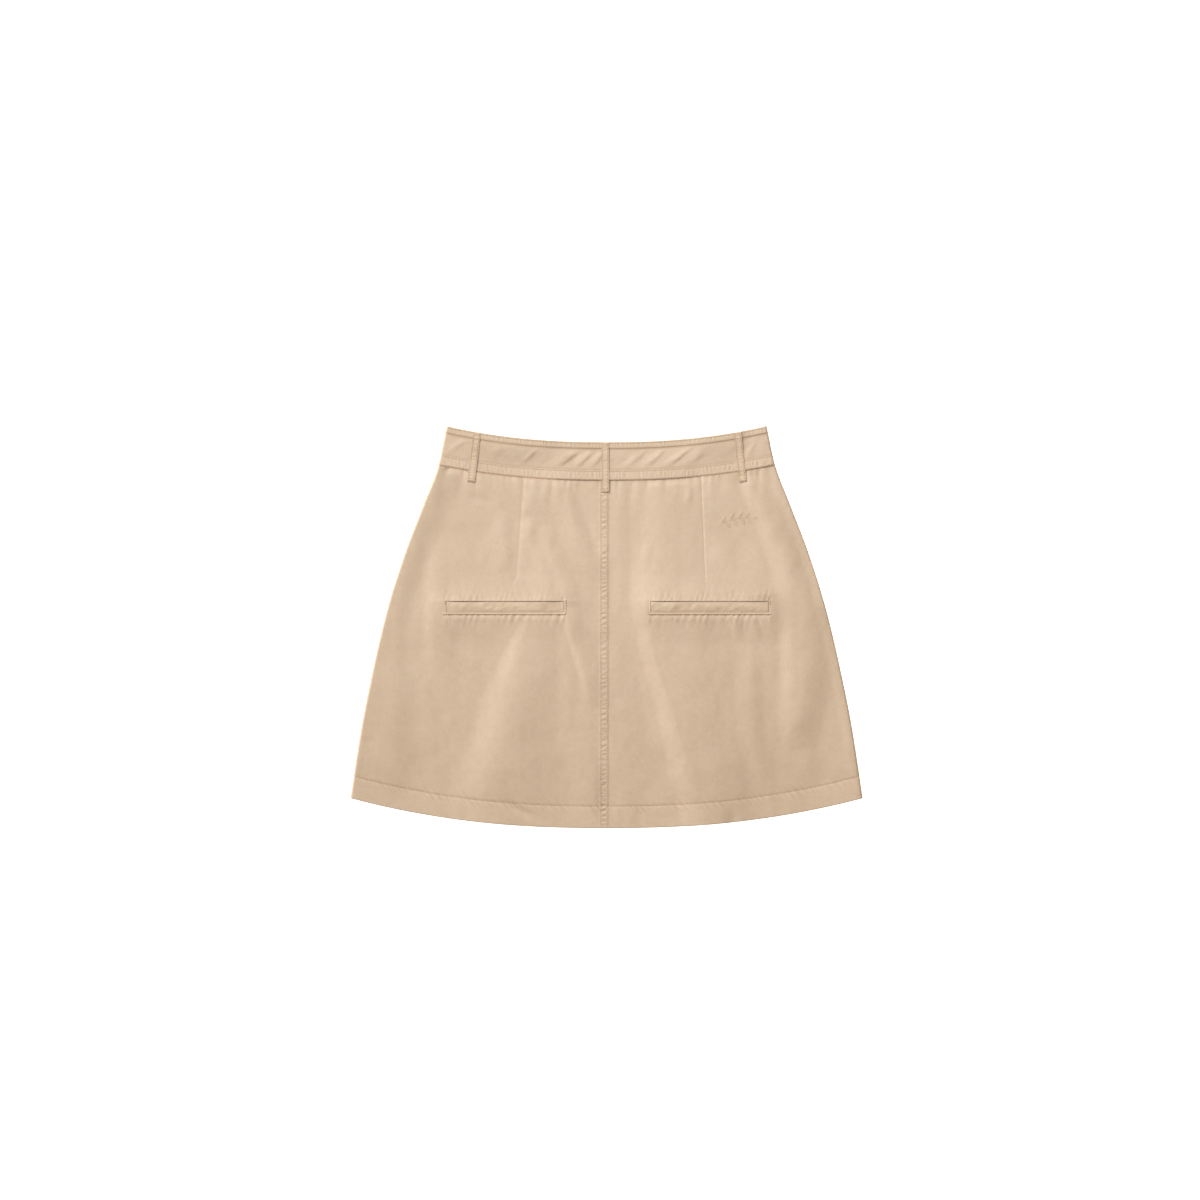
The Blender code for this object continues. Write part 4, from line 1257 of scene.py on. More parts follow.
def waistband_front(half):
    """Half of the front waistband. The right one laps over the left one at the centre."""
    tip = -LAP_LONG / 2 if half is RIGHT else GAP - LAP_LONG / 2
    root = LAP_LONG / 2 if half is RIGHT else LAP_LONG / 2 + GAP
    reach = WAIST_FLAT / 2 - ROLL
    run = joined(
        rounded_places(tip, 1, 0.6),
        graded((tip + 0.6, 0.5), (root - 0.4, 0.5)),
        graded((root - 0.4, 0.4), (root + GAP, 0.4), (root + 3, 0.6), (30, 1.3), (reach, 1.5)),
    )

    def under(x, above):
        lap = (half is RIGHT) & (x < root + GAP / 2)
        top = np.where(lap, LAP_WALL, FRONT_BAND_TOP)
        return top - edge_drop(WAISTBAND_DEEP - above, EDGE_ROUND, 0.25)

    xs = half.side * run[:: half.side]
    level = SIDE_SEAM_Z - GAP / 2
    grids, detail = band_grids(xs, front_band_face(half), under, level, (half.side,))
    return cloth_piece(f"waistband_front_{half.word}", grids, detail, "waistband_twill", down=True)


# ---------------------------------------------------------------- stitches


def sewn(lines, up_way=1.0):
    """Stitches along lines of points, each a bent capsule, with a disc of painted shade at each hole."""
    sizes = bpy.context.scene.skirt_sizes
    starts, ends = [], []
    for line in lines:
        steps = np.linalg.norm(np.diff(line, axis=0), axis=1)
        arc = np.concatenate([[0], np.cumsum(steps)])
        count = max(1, int(round(arc[-1] / (sizes.stitch_long / MM))))
        holes = np.linspace(0, arc[-1], count + 1)
        points = np.stack([np.interp(holes, arc, line[:, k]) for k in range(3)], axis=-1)
        starts.append(points[:-1])
        ends.append(points[1:])
    start, end = np.concatenate(starts), np.concatenate(ends)
    stitches = capsules(start, end, sizes.thread_wide / MM, STITCH_LIFT, up_way, STITCH_GAP)
    reach = HOLE_SHADE_WIDE / 2 * (end - start) / np.linalg.norm(end - start, axis=1, keepdims=True)
    # Each needle hole gets a dark disc: painted shade of the pit that the thread sinks into
    holes = capsules(end - reach, end + reach, HOLE_SHADE_WIDE, HOLE_SHADE_LIFT, up_way, sides=8, rings=3)
    # Thread is painted darker along its U as shade, so a hole's disc is as dark as a stitch's very end
    holes[2][:, 0] = 1 / MM
    return gathered([stitches, holes])


def capsules(start, end, wide, lift, up_way=1.0, gap=0.0, sides=6, rings=5):
    """Points, faces and UVs of bent capsules, from arrays of their two ends.

    A capsule is rings of points round an arc from end to end, the lift high. Its girth follows
    the root of one minus a power of its place, which runs from -1 to 1.
    """
    along = end - start
    long = np.linalg.norm(along, axis=1, keepdims=True)
    along = along / long
    normal = np.array([0, 0, up_way]) - along * (along[:, 2:] * up_way)
    normal = normal / np.linalg.norm(normal, axis=1, keepdims=True)
    side = np.cross(along, normal)
    place = np.linspace(-1, 1, rings + 2)
    girth = np.sqrt(np.clip(1 - np.abs(place) ** 3.2, 0, 1))[1:-1, None]
    arch = lift * (1 - place**2) - 0.6 * wide
    turn = 2 * np.pi * np.arange(sides) / sides
    middle = (start + end) / 2
    half = long / 2 * (1 - gap)
    aside = (wide / 2 * girth * np.cos(turn))[None, :, :, None]
    raised = (arch[1:-1, None] + wide * 0.45 * girth * np.sin(turn))[None, :, :, None]
    rings_at = (half * place[1:-1])[:, :, None, None] * along[:, None, None, :]
    rings_at = middle[:, None, None, :] + rings_at
    rings_at = rings_at + aside * side[:, None, None, :] + raised * normal[:, None, None, :]
    tips = middle[:, None, :] + (half * place[[0, -1]])[:, :, None] * along[:, None, :]
    tips = tips + arch[[0, -1]][None, :, None] * normal[:, None, :]
    points = np.concatenate([rings_at.reshape(len(start), -1, 3), tips], axis=1).reshape(-1, 3)
    ring = np.arange(rings * sides).reshape(rings, sides)
    first = np.stack([np.full(sides, rings * sides), ring[0], np.roll(ring[0], -1)], axis=-1)
    last = np.stack([np.full(sides, rings * sides + 1), np.roll(ring[-1], -1), ring[-1]], axis=-1)
    offsets = (rings * sides + 2) * np.arange(len(start))[:, None, None]
    faces = [(ring_quads(ring)[None] + offsets).reshape(-1, 4)]
    faces.append((np.concatenate([first, last])[None] + offsets).reshape(-1, 3))
    if up_way < 0:
        faces = [f[:, ::-1] for f in faces]
    uv = np.stack([np.repeat(place[1:-1], sides), np.tile(np.arange(sides) / sides, rings)], axis=-1)
    uv = np.tile(np.concatenate([uv, [[-1.0, 0.0], [1.0, 0.0]]]), (len(start), 1))
    return points, faces, uv / MM


def ring_quads(ring):
    """Faces between rings of points that follow one another, each ring closed on itself."""
    after = np.roll(ring, -1, axis=1)
    return np.stack([ring[:-1], ring[1:], after[1:], after[:-1]], axis=-1).reshape(-1, 4)


def gathered(parts):
    """Points, faces and UVs of several sets of stitches as one."""
    points, uvs, faces, base = [], [], [[], []], 0
    for part_points, part_faces, part_uv in parts:
        points.append(part_points)
        uvs.append(part_uv)
        for kept, part in zip(faces, part_faces):
            kept.append(part + base)
        base += len(part_points)
    return np.concatenate(points), [np.concatenate(f) for f in faces], np.concatenate(uvs)


def stitch_piece(name, parts, material="khaki_thread"):
    """Sets of stitches as one piece."""
    points, faces, uv = gathered(parts)
    made = new_piece(name, points, faces, material, uv)
    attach(made, "root")
    return made


def stitch_line(x, row, face, half):
    """Points of a stitch row on a panel's face, from X and row."""
    x, row = np.broadcast_arrays(np.asarray(x, float), np.asarray(row, float))
    return np.stack([x, bent_up(x, row), face(x, row, half)[0]], axis=-1)


def hem_stitches(start, count, face, half):
    """Points of a hem's stitch row, from X near the centre out to the side."""
    reach = half_width(HEM_STITCH + HEM_SWEEP) - ROLL - 0.6
    return stitch_line(np.linspace(start, half.side * reach, count), HEM_STITCH, face, half)


def welt_stitches(half):
    """A welt's stitched frame: below it from the outer end, round the corner and up."""
    toward = -half.side
    outer, inner = welt_ends(half.lines)[::toward]
    turn = np.linspace(0, np.pi / 2, 9)
    past, below = inner + toward * WELT_STITCH * np.sin(turn), WELT_LOW - WELT_STITCH * np.cos(turn)
    up = np.linspace(WELT_LOW, WELT_HIGH + 0.6, 20)
    x = [np.linspace(outer - 2.6 * toward, inner, 160), past, np.full(20, inner + toward * WELT_STITCH)]
    row = [np.full(160, WELT_LOW - WELT_STITCH), below, up]
    return stitch_line(np.concatenate(x), np.concatenate(row), panel_face, half)


def back_stitches(half):
    """A back panel's stitch rows: its hem, its pocket's frame and the strip on the left one."""
    rows = [hem_stitches(CENTRE_SEAM + half.side * GAP, 700, panel_face, half), welt_stitches(half)]
    down = np.linspace(1.2, WAIST_SEAM - 0.6, 700)
    if half is LEFT:
        rows += [stitch_line(STRIP_EDGE - stitch, down, panel_face, half) for stitch in STRIP_STITCHES]
    return sewn(rows)


def front_stitches(half):
    """A front panel's stitch rows: its hem, its pocket's edge and, on the right, the fly."""
    rows = [hem_stitches(half.side * 1.2, 500, front_face, half)]
    slash = np.linspace(POCKET_END, WAIST_SEAM - 1.0, 400)
    for stitch in POCKET_STITCHES:
        rows.append(stitch_line(half.side * (pocket_x(slash) - stitch), slash, front_face, half))
    if half is RIGHT:
        turn = np.linspace(0, np.pi / 2, 60)
        for stitch in FLY_STITCHES:
            end = FLY_END - stitch
            straight = np.linspace(WAIST_SEAM - 1.0, end, 200)[:-1]
            out = np.concatenate([0 * straight + stitch, 0.8 + (stitch - 0.8) * np.cos(turn)])
            row = np.concatenate([straight, end - FLY_BEND * np.sin(turn)])
            rows.append(stitch_line(out, row, front_face, half))
    return sewn(rows, up_way=-1.0)


def band_stitches(xs, face, up_way=1.0):
    """The stitch rows along a waistband, at their heights above its lower edge."""
    rows = []
    for above in BAND_STITCHES:
        x = band_columns(xs, np.array([above]))[0][0]
        rows.append(np.stack([x, band_up(x, above), face(x, above + 0 * x)[0]], axis=-1))
    return sewn(rows, up_way)


def loop_points(spec, lengths, lanes):
    """Points on a loop's face at pairs of a distance down it and a lane across it."""
    z = np.diagonal(loop_face(spec, lengths, lanes[None, :])[0])
    return np.stack([*loop_places(spec, lengths, lanes), z], axis=1)


def zigzag(long, wide):
    """Places along a bartack and across it: it swings from side to side at each stitch."""
    count = int(long / BARTACK_PITCH)
    return np.linspace(-long / 2, long / 2, count + 1), wide / 2 * (-1.0) ** np.arange(count + 1)


def barred(points):
    """The close stitches of a bartack, from hole to hole."""
    return capsules(points[:-1], points[1:], BARTACK_THREAD, BARTACK_LIFT)


def pocket_tack(half):
    """The bartack at a back pocket's outer end."""
    outer = welt_ends(half.lines)[0 if half is LEFT else 1] + half.side * 1.3
    place, swing = zigzag(5.0, 1.5)
    return barred(stitch_line(outer + swing, WELT_HIGH - 1.2 + place, panel_face, half) + (0, 0, 0.1))


def loop_stitches(spec):
    """Two rows of stitches down a belt loop, and a bartack across each end."""
    down = np.linspace(0.8, LOOP_LONG - 0.8, 160)
    rows = [loop_points(spec, down, 0 * down + lane) for lane in (-LOOP_STITCH, LOOP_STITCH)]
    lanes, swing = zigzag(LOOP_WIDE - 1.6, 1.2)
    bars = [barred(loop_points(spec, at + swing, lanes)) for at in (1.9, LOOP_LONG - 1.9)]
    return [sewn(rows), *bars]


def sprig():
    """Stitches of the sprig: its stem, and leaves whose threads slant out from a middle vein.

    A leaf's half width is a sine of a power of the way along it.
    """

    def stem(share):
        bow = STEM_BOW * (np.sin(np.pi * share) + 1.6 * share - 1.4)
        return np.concatenate([STEM_LONG * (share - 0.58), bow], axis=-1)

    def on_panel(places):
        return stitch_line(SPRIG_X + places[:, 0], SPRIG_ROW + places[:, 1], panel_face, RIGHT)

    line = on_panel(stem(np.linspace(0, 1, 22)[:, None]))
    starts, ends = [], []
    for leaf in LEAVES:
        way = np.array([np.cos(radians(leaf.turn)), np.sin(radians(leaf.turn))])
        aside = np.array([-way[1], way[0]])
        t = np.linspace(0.06, 0.98, leaf.stitches)[:, None]
        vein = stem(np.array([[leaf.place]])) + leaf.long * t * way
        half = leaf.wide / 2 * np.sin(np.pi * t**0.8)
        for side in (-1, 1):
            starts.append(vein - 0.1 * side * aside)
            ends.append(vein + side * half * aside + SATIN_SLANT * half * way)
    start, end = on_panel(np.concatenate(starts)), on_panel(np.concatenate(ends))
    leaves = capsules(start, end, SATIN_THREAD, SATIN_LIFT)
    return [capsules(line[:-1], line[1:], STEM_THREAD, 1.4 * SATIN_LIFT), leaves]


def button_shape():
    """Points and faces of the button, from the middle of its face over the rim to its back.

    Rings of points follow the profile; four round holes are sunk into the dished face.
    """
    face = np.linspace(0.1, 5.4, 46)
    edge_radius, edge_z = zip(*BUTTON_EDGE)
    radius = np.concatenate([face, edge_radius, [0.1]])[:, None]
    z = np.concatenate([0 * face + BUTTON_DISH, edge_z, [LAP_WALL]])[:, None]
    turn = 2 * np.pi * np.arange(BUTTON_TURNS) / BUTTON_TURNS
    x, up = radius * np.cos(turn), radius * np.sin(turn)
    near = np.hypot(np.abs(x) - BUTTON_HOLES, np.abs(up) - BUTTON_HOLES)
    on_face = (np.arange(len(radius)) < len(face))[:, None]
    z = z + on_face * HOLE_DEEP * ease((HOLE_WIDE / 2 + 0.1 - near) / 0.2)
    points = np.stack([x, up + button_up(), z], axis=-1).reshape(-1, 3)
    ring = np.arange(len(points)).reshape(x.shape)
    return points, [ring_quads(ring)[:, ::-1], np.stack([ring[0][::-1], ring[-1]])]


def button_up():
    """Up of the waist button: the middle of the front waistband."""
    return sum(band_edges(0.0)) / 2


def button_thread():
    """Three threads over each of the button's two bars, from hole to hole."""
    lanes = np.array([-0.3, 0.0, 0.3])
    up = np.concatenate([lanes - BUTTON_HOLES, lanes + BUTTON_HOLES]) + button_up()
    level = np.full(len(up), 0.42)
    reach = np.full(len(up), BUTTON_HOLES + 0.15)
    ends = [np.stack([side * reach, up, level], axis=-1) for side in (-1, 1)]
    return capsules(*ends, 0.34, 0.3, up_way=-1.0)


# ---------------------------------------------------------------- materials

# Powers by which red, green and blue follow the cloth's level, from its tone and its painted
# shade, so that painted shade is warmer as well as darker
DEEPENING = (1.0, 1.4, 1.9)

# The cloth of each material slot
SLOT_CLOTHS = {
    "twill": "khaki_twill",
    "waistband_twill": "khaki_band_twill",
    "trim_twill": "khaki_trim_twill",
}


def set_inputs(tree, node, inputs):
    """Gives each named input of a node its value, or a link from another node's output."""
    for key, value in inputs.items():
        if isinstance(value, bpy.types.NodeSocket):
            tree.links.new(value, node.inputs[key])
        else:
            node.inputs[key].default_value = value


def add_node(tree, kind, inputs, **settings):
    """A shader node with its settings and its inputs."""
    node = tree.nodes.new(f"ShaderNode{kind}")
    for key, value in settings.items():
        setattr(node, key, value)
    set_inputs(tree, node, inputs)
    return node


def new_material(name):
    """A material, its node tree and its shader."""
    material = bpy.data.materials.new(name)
    material.use_nodes = True
    tree = material.node_tree
    return material, tree, tree.nodes["Principled BSDF"]


def calc(tree, operation, first, second):
    """Two values put through one operation."""
    return add_node(tree, "Math", {0: first, 1: second}, operation=operation).outputs[0]


def scaled(tree, value, low, high):
    """A 0 to 1 value carried to between low and high."""
    inputs = {"To Min": low, "To Max": high, "Value": value}
    return add_node(tree, "MapRange", inputs).outputs["Result"]


def noise(tree, vector, scale, detail=2.0):
    """Seeded noise, from 0 to 1."""
    inputs = {"Scale": scale, "Detail": detail, "Vector": vector}
    return add_node(tree, "TexNoise", inputs).outputs["Fac"]


def waves(tree, uv, turn, **inputs):
    """Straight waves over the cloth, turned by an angle in degrees."""
    turned = add_node(tree, "Mapping", {"Rotation": (0, 0, radians(turn)), "Vector": uv})
    named = {key.replace("_", " "): value for key, value in inputs.items()}
    named["Vector"] = turned.outputs["Vector"]
    return add_node(tree, "TexWave", named, wave_type="BANDS", bands_direction="X").outputs["Fac"]


def deepened(tree, colour, level):
    """A colour whose red, green and blue follow rising powers of a level."""
    powers = {i: calc(tree, "POWER", level, power) for i, power in enumerate(DEEPENING)}
    split = add_node(tree, "CombineXYZ", powers)
    inputs = {0: colour, 1: split.outputs["Vector"]}
    return add_node(tree, "VectorMath", inputs, operation="MULTIPLY").outputs["Vector"]


def bump(tree, height, strength, distance, **normal):
    """A normal that stands up by a height, from 0 to 1, over a distance."""
    inputs = {"Strength": strength, "Distance": distance, "Height": height, **normal}
    return add_node(tree, "Bump", inputs).outputs["Normal"]


def twill(name, colour, tone):
    """Cotton twill: diagonal wales and threads as relief, a washed mottle, ridges rubbed pale, and
    painted shade in its grooves and crevices.

    The red, green and blue of the cloth fall by rising powers of its level, so that the painted
    shade in its grooves is not only darker but warmer.
    """
    sizes = bpy.context.scene.skirt_sizes
    material, tree, shader = new_material(name)
    uv = add_node(tree, "UVMap", {}, uv_map="cloth").outputs["UV"]
    scale = 2 * np.pi / 20 / sizes.wale_pitch
    wales = waves(tree, uv, -32, Scale=scale, Distortion=1.2, Detail=1.0, Detail_Scale=0.6)
    wear = add_node(tree, "Attribute", {}, attribute_name="wear").outputs["Fac"]
    wash = noise(tree, uv, 22, 4.0)
    mottle = noise(tree, uv, 180, 3.0)
    fibre = noise(tree, uv, 2600)
    slub = noise(tree, uv, 520)
    level = scaled(tree, wash, 0.94, 1.06)
    for grain, depth in ((mottle, 0.07), (slub, 0.06), (fibre, 0.13), (wales, 0.035)):
        level = calc(tree, "MULTIPLY", level, scaled(tree, grain, 1 - depth, 1 + depth))
    # Positive wear pales the ridges; negative values are painted shade, made deeper still
    rub_and_shade = calc(tree, "MULTIPLY", wear, sizes.wear_and_shade_share)
    rub_and_shade = calc(tree, "MINIMUM", rub_and_shade, calc(tree, "MULTIPLY", rub_and_shade, 2.6))
    rub_and_shade = calc(tree, "MAXIMUM", calc(tree, "ADD", rub_and_shade, 1.0), 0.6)
    level = calc(tree, "MULTIPLY", level, calc(tree, "MINIMUM", rub_and_shade, 1.06))
    weave = bump(tree, wales, 0.55, sizes.wale_deep)
    inputs = {
        "Base Color": deepened(tree, [tone * c for c in colour], level),
        "Roughness": scaled(tree, mottle, 0.52, 0.68),
        "IOR": 1.6,
        "Specular IOR Level": 1.0,
        "Subsurface Weight": 0.2,
        "Subsurface Radius": (1.0, 0.7, 0.5),
        "Subsurface Scale": 0.8 * MM,
        "Sheen Weight": 0.1,
        "Sheen Roughness": 0.45,
        "Normal": bump(tree, fibre, 0.5, sizes.wale_deep, Normal=weave),
    }
    set_inputs(tree, shader, inputs)
    return material


def thread(name, colour, hole_shade):
    """Sewing thread: plies twisted round each stitch, painted darker towards its two holes as shade."""
    material, tree, shader = new_material(name)
    uv = add_node(tree, "UVMap", {}, uv_map="cloth").outputs["UV"]
    plies = waves(tree, uv, 35, Scale=0.9)
    along = add_node(tree, "SeparateXYZ", {"Vector": uv}).outputs["X"]
    ends = calc(tree, "POWER", calc(tree, "ABSOLUTE", along, 0.0), 3.0)
    level = calc(tree, "MULTIPLY", scaled(tree, plies, 0.88, 1.06), scaled(tree, ends, 1.0, hole_shade))
    inputs = {
        "Base Color": deepened(tree, colour, level),
        "Roughness": 0.5,
        "Sheen Weight": 0.15,
        "Normal": bump(tree, plies, 0.5, 0.05 * MM),
    }
    set_inputs(tree, shader, inputs)
    return material


def horn(name, colour):
    """A horn button: pale streaks in brown, polished."""
    material, tree, shader = new_material(name)
    place = add_node(tree, "TexCoord", {}).outputs["Object"]
    long = add_node(tree, "Mapping", {"Scale": (900, 160, 400), "Vector": place})
    streaks = noise(tree, long.outputs["Vector"], 1.0, 3.0)
    ramp = add_node(tree, "ValToRGB", {"Fac": streaks})
    for stop, position, share in zip(ramp.color_ramp.elements, (0.32, 0.72), (0.55, 1.5)):
        stop.position = position
        stop.color = (*[min(1.0, share * c) for c in colour], 1)
    inputs = {"Base Color": ramp.outputs["Color"], "Roughness": scaled(tree, streaks, 0.28, 0.45)}
    set_inputs(tree, shader, inputs)
    return material


def floor_paint(name, colour):
    """A matt pale floor with the faintest grain, which glows a little as a light table does."""
    material, tree, shader = new_material(name)
    grain = noise(tree, add_node(tree, "TexCoord", {}).outputs["Object"], 60, 3.0)
    paint = {0: colour, "Scale": scaled(tree, grain, 0.995, 1.005)}
    inputs = {
        "Base Color": add_node(tree, "VectorMath", paint, operation="SCALE").outputs["Vector"],
        "Roughness": 0.95,
        "Specular IOR Level": 0.1,
        "Emission Color": (1.0, 1.0, 1.0, 1.0),
        "Emission Strength": 1.4,
    }
    set_inputs(tree, shader, inputs)
    return material


def finish_named(name):
    """One of the skirt's materials, made the first time that it is asked for."""
    if name in bpy.data.materials:
        return bpy.data.materials[name]
    colours = bpy.context.scene.skirt_colours
    make, *values = {
        "khaki_twill": (twill, colours.cloth, 1.0),
        "khaki_band_twill": (twill, colours.cloth, 0.99),
        "khaki_trim_twill": (twill, colours.cloth, 1.03),
        "khaki_thread": (thread, colours.thread, 0.36),
        "khaki_silk": (thread, colours.embroidery, 0.92),
        "horn": (horn, colours.button),
        "pale_floor": (floor_paint, colours.floor),
    }[name]
    return make(name, *values)


# ---------------------------------------------------------------- settings


def number_setting(name, description, default, least=0.0, **more):
    """A setting that is a number, from a least one up."""
    return FloatProperty(name=name, description=description, default=default, min=least, **more)


def length_setting(name, description, default, least, **more):
    """A setting that is a length in metres."""
    more = {"subtype": "DISTANCE", "unit": "LENGTH", **more}
    return number_setting(name, description, default, least, **more)


def angle_setting(name, description, default):
    """A setting that is an angle, from its default in degrees."""
    default = radians(default)
    return FloatProperty(
        name=name, description=description, default=default, subtype="ANGLE", unit="ROTATION"
    )


def colour_setting(name, description, *default):
    """A setting that is a colour."""
    limits = {"size": 3, "min": 0.0, "max": 1.0}
    return FloatVectorProperty(
        name=name, description=description, subtype="COLOR", default=default, **limits
    )


class SkirtSizes(bpy.types.PropertyGroup):
    """Fine sizes of the cloth and its sewing"""

    stitch_long: length_setting(
        "Stitch length", "Distance from one needle hole to the next", 2.9 * MM, 1.0 * MM, precision=4
    )
    thread_wide: length_setting(
        "Thread width", "Width of the topstitching thread", 0.55 * MM, 0.1 * MM, precision=5
    )
    wale_pitch: length_setting(
        "Wale pitch",
        "Distance from one diagonal rib of the twill to the next",
        0.55 * MM,
        0.1 * MM,
        precision=5,
    )
    wale_deep: length_setting(
        "Wale depth", "Depth of the grooves between the twill's ribs", 0.06 * MM, 0.0, precision=5
    )
    # The wear setting also sets how much darker grooves and crevices are painted as shade
    wear_and_shade_share: number_setting("Wear", "How much paler a seam's ridge of one millimetre is rubbed", 0.35)


class SkirtColours(bpy.types.PropertyGroup):
    """Colours of the cloth, threads, button and floor"""

    cloth: colour_setting("Cloth", "Base colour of the khaki twill", 0.586, 0.411, 0.255)
    thread: colour_setting("Thread", "Colour of the topstitching", 0.60, 0.44, 0.28)
    embroidery: colour_setting("Embroidery", "Colour of the embroidered sprig", 0.62, 0.445, 0.28)
    button: colour_setting("Button", "Colour of the waist button", 0.36, 0.25, 0.15)
    floor: colour_setting("Floor", "Colour of the floor under the skirt", 0.5, 0.5, 0.5)


class StageSettings(bpy.types.PropertyGroup):
    """Camera, lights and floor"""

    camera_high: length_setting("Camera height", "Height of the camera above the floor", 3.436, 0.5)
    lens: number_setting(
        "Focal length",
        "Focal length of the camera in millimetres",
        100.0,
        10.0,
        subtype="DISTANCE_CAMERA",
        unit="CAMERA",
    )
    key_power: number_setting(
        "Key light", "Power of the large soft lamp at the upper left, in watts", 1155.0
    )
    pool_power: number_setting(
        "Overhead light", "Power of the lamp straight above the waist, in watts", 3.6
    )
    key_turn: angle_setting(
        "Key light's bearing", "Where the lamp stands, turned from the skirt's right side", 138
    )
    key_rise: angle_setting(
        "Key light's height", "How high the lamp stands above the floor, as an angle", 26
    )
    key_tint: colour_setting("Key light's tint", "Colour of the large lamp", 0.86, 0.93, 1.0)
    fill: number_setting("Fill light", "Strength of the even light from all round", 0.19)
    fill_tint: colour_setting("Fill light's tint", "Colour of the even light", 1.0, 0.75, 0.5)
    floor_wide: length_setting("Floor width", "Width of the square floor", 8.0, 1.0)


# ---------------------------------------------------------------- operators

# In metres: the point under the camera, and how far or where each lamp hangs and how wide it is
AIM = Vector((-6.7 * MM, 27.8 * MM, 0.0))
KEY_FAR = 8.0
KEY_WIDE = 5.0
POOL_PLACE = Vector((0.06, 0.26, 0.9))
POOL_WIDE = 0.6

# How far the floor lies under the skirt, in millimetres
FLOOR_UNDER = 0.1


def soft_lamp(name, place, target, wide, power, tint):
    """A disc lamp at a place, turned to the target."""
    lamp = bpy.data.lights.new(name, "AREA")
    lamp.shape = "DISK"
    lamp.size = wide
    lamp.energy = power
    lamp.color = tint
    holder = bpy.data.objects.new(name, lamp)
    holder.location = place
    holder.rotation_euler = (target - place).to_track_quat("-Z", "Y").to_euler()
    bpy.context.scene.collection.objects.link(holder)


class SKIRT_OT_stage(bpy.types.Operator):
    """Lay the floor, hang the soft lights and place the camera straight above"""

    bl_idname = "skirt.stage"
    bl_label = "Stage"

    def execute(self, context):
        scene = context.scene
        stage = scene.skirt_stage
        corners = np.array([[-1, -1, 0], [1, -1, 0], [1, 1, 0], [-1, 1, 0]]) * stage.floor_wide / 2 / MM
        faces = [np.array([[0, 1, 2, 3]])]
        floor = new_piece("floor", corners - (0, 0, FLOOR_UNDER), faces, "pale_floor", centred=False)
        camera = bpy.data.objects.new("camera", bpy.data.cameras.new("camera"))
        camera.data.lens = stage.lens
        camera.data.sensor_width = 36.0
        camera.location = AIM + Vector((0, 0, stage.camera_high))
        scene.collection.objects.link(camera)
        scene.camera = camera
        bearing, rise = stage.key_turn, stage.key_rise
        away = Vector((np.cos(rise) * np.cos(bearing), np.cos(rise) * np.sin(bearing), np.sin(rise)))
        soft_lamp("key", KEY_FAR * away, Vector(), KEY_WIDE, stage.key_power, stage.key_tint)
        below = Vector((POOL_PLACE.x, POOL_PLACE.y, 0))
        soft_lamp("pool", POOL_PLACE, below, POOL_WIDE, stage.pool_power, stage.key_tint)
        world = bpy.data.worlds.new("studio")
        world.use_nodes = True
        light = world.node_tree.nodes["Background"]
        light.inputs["Color"].default_value = (*stage.fill_tint, 1.0)
        light.inputs["Strength"].default_value = stage.fill
        scene.world = world
        scene.view_settings.view_transform = "Standard"
        return {"FINISHED"}


class SKIRT_OT_back_panels(bpy.types.Operator):
    """Make the two halves of the back, with hem, darts, folds and pocket windows"""

    bl_idname = "skirt.back_panels"
    bl_label = "Back panels"

    def execute(self, context):
        for half in HALVES:
            back_panel(half)
        return {"FINISHED"}


class SKIRT_OT_welts(bpy.types.Operator):
    """Make the welts of the two back pockets"""

    bl_idname = "skirt.welts"
    bl_label = "Pocket welts"

    def execute(self, context):
        for half in HALVES:
            welt(half)
        return {"FINISHED"}


class SKIRT_OT_waistband(bpy.types.Operator):
    """Make the waistband across the back and its two halves across the front"""

    bl_idname = "skirt.waistband"
    bl_label = "Waistband"

    def execute(self, context):
        waistband_back()
        for half in HALVES:
            waistband_front(half)
        return {"FINISHED"}


class SKIRT_OT_belt_loops(bpy.types.Operator):
    """Make the three belt loops"""

    bl_idname = "skirt.belt_loops"
    bl_label = "Belt loops"

    def execute(self, context):
        for spec in BELT_LOOPS:
            belt_loop(spec)
        return {"FINISHED"}


class SKIRT_OT_front_panels(bpy.types.Operator):
    """Make the two halves of the front, with fly and slash pockets"""

    bl_idname = "skirt.front_panels"
    bl_label = "Front panels"

    def execute(self, context):
        for half in HALVES:
            front_panel(half)
        return {"FINISHED"}


class SKIRT_OT_button(bpy.types.Operator):
    """Turn the horn button of the waistband and sew it on"""

    bl_idname = "skirt.button"
    bl_label = "Button"

    def execute(self, context):
        button = new_piece("horn_button", *button_shape(), "horn")
        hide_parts("button")
        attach(button, "root")
        stitch_piece("stitches_button", [button_thread()])
        return {"FINISHED"}


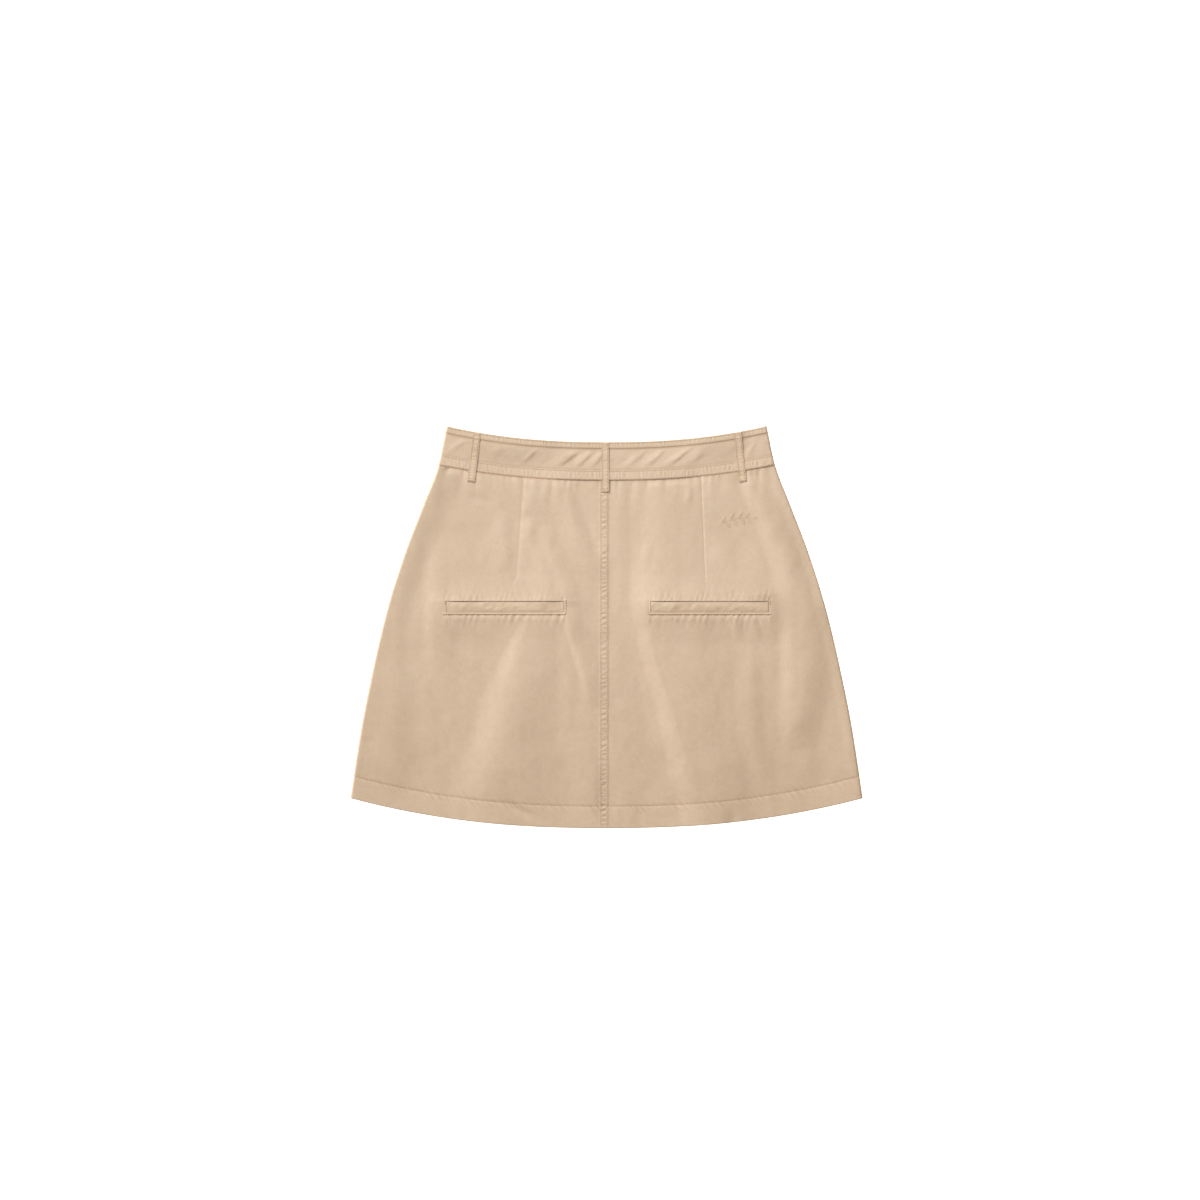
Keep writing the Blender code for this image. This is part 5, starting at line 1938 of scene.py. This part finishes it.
class SKIRT_OT_stitching(bpy.types.Operator):
    """Sew the topstitching, the bartacks and the sprig, and take the cut areas off the cloth pieces"""

    bl_idname = "skirt.stitching"
    bl_label = "Topstitching"

    def execute(self, context):
        edge = WAIST_FLAT / 2 - ROLL - 0.5
        for half in HALVES:
            word = half.word
            stitch_piece(f"stitches_back_{word}", [back_stitches(half), pocket_tack(half)])
            stitch_piece(f"stitches_front_{word}", [front_stitches(half)])
            start = LAP_LONG / 2 + 1.5 if half is LEFT else 1.2 - LAP_LONG / 2
            xs = half.side * np.linspace(start, edge, 400)
            rows = band_stitches(xs, front_band_face(half), up_way=-1.0)
            stitch_piece(f"stitches_band_{word}", [rows])
        rows = band_stitches(np.linspace(-edge, edge, 700), band_face)
        stitch_piece("stitches_waistband_back", [rows])
        for spec in BELT_LOOPS:
            stitch_piece(f"stitches_{spec.name}", loop_stitches(spec))
        stitch_piece("sprig", sprig(), material="khaki_silk")
        declare_cloth()
        return {"FINISHED"}


class SKIRT_PT_panel(bpy.types.Panel):
    """The skirt's pieces, sizes and colours"""

    bl_label = "Utility Skirt"
    bl_idname = "SKIRT_PT_panel"
    bl_space_type = "VIEW_3D"
    bl_region_type = "UI"
    bl_category = "Skirt"

    def draw(self, context):
        layout = self.layout
        for operator in OPERATORS:
            layout.operator(operator.bl_idname)
        for group in GROUPS:
            settings = getattr(context.scene, group)
            box = layout.box()
            for name in settings.bl_rna.properties.keys():
                if name not in ("rna_type", "name"):
                    box.prop(settings, name)


OPERATORS = (
    SKIRT_OT_stage,
    SKIRT_OT_back_panels,
    SKIRT_OT_welts,
    SKIRT_OT_waistband,
    SKIRT_OT_belt_loops,
    SKIRT_OT_front_panels,
    SKIRT_OT_button,
    SKIRT_OT_stitching,
)
GROUPS = {"skirt_sizes": SkirtSizes, "skirt_colours": SkirtColours, "skirt_stage": StageSettings}


def register():
    for made in (*GROUPS.values(), *OPERATORS, SKIRT_PT_panel):
        bpy.utils.register_class(made)
    for name, group in GROUPS.items():
        setattr(bpy.types.Scene, name, PointerProperty(type=group))


def unregister():
    for name in GROUPS:
        delattr(bpy.types.Scene, name)
    for made in (SKIRT_PT_panel, *reversed(OPERATORS), *reversed(GROUPS.values())):
        bpy.utils.unregister_class(made)


def main():
    """Makes every piece in order."""
    register()
    for operator in OPERATORS:
        group, name = operator.bl_idname.split(".")
        getattr(getattr(bpy.ops, group), name)()


if __name__ == "__main__":
    main()
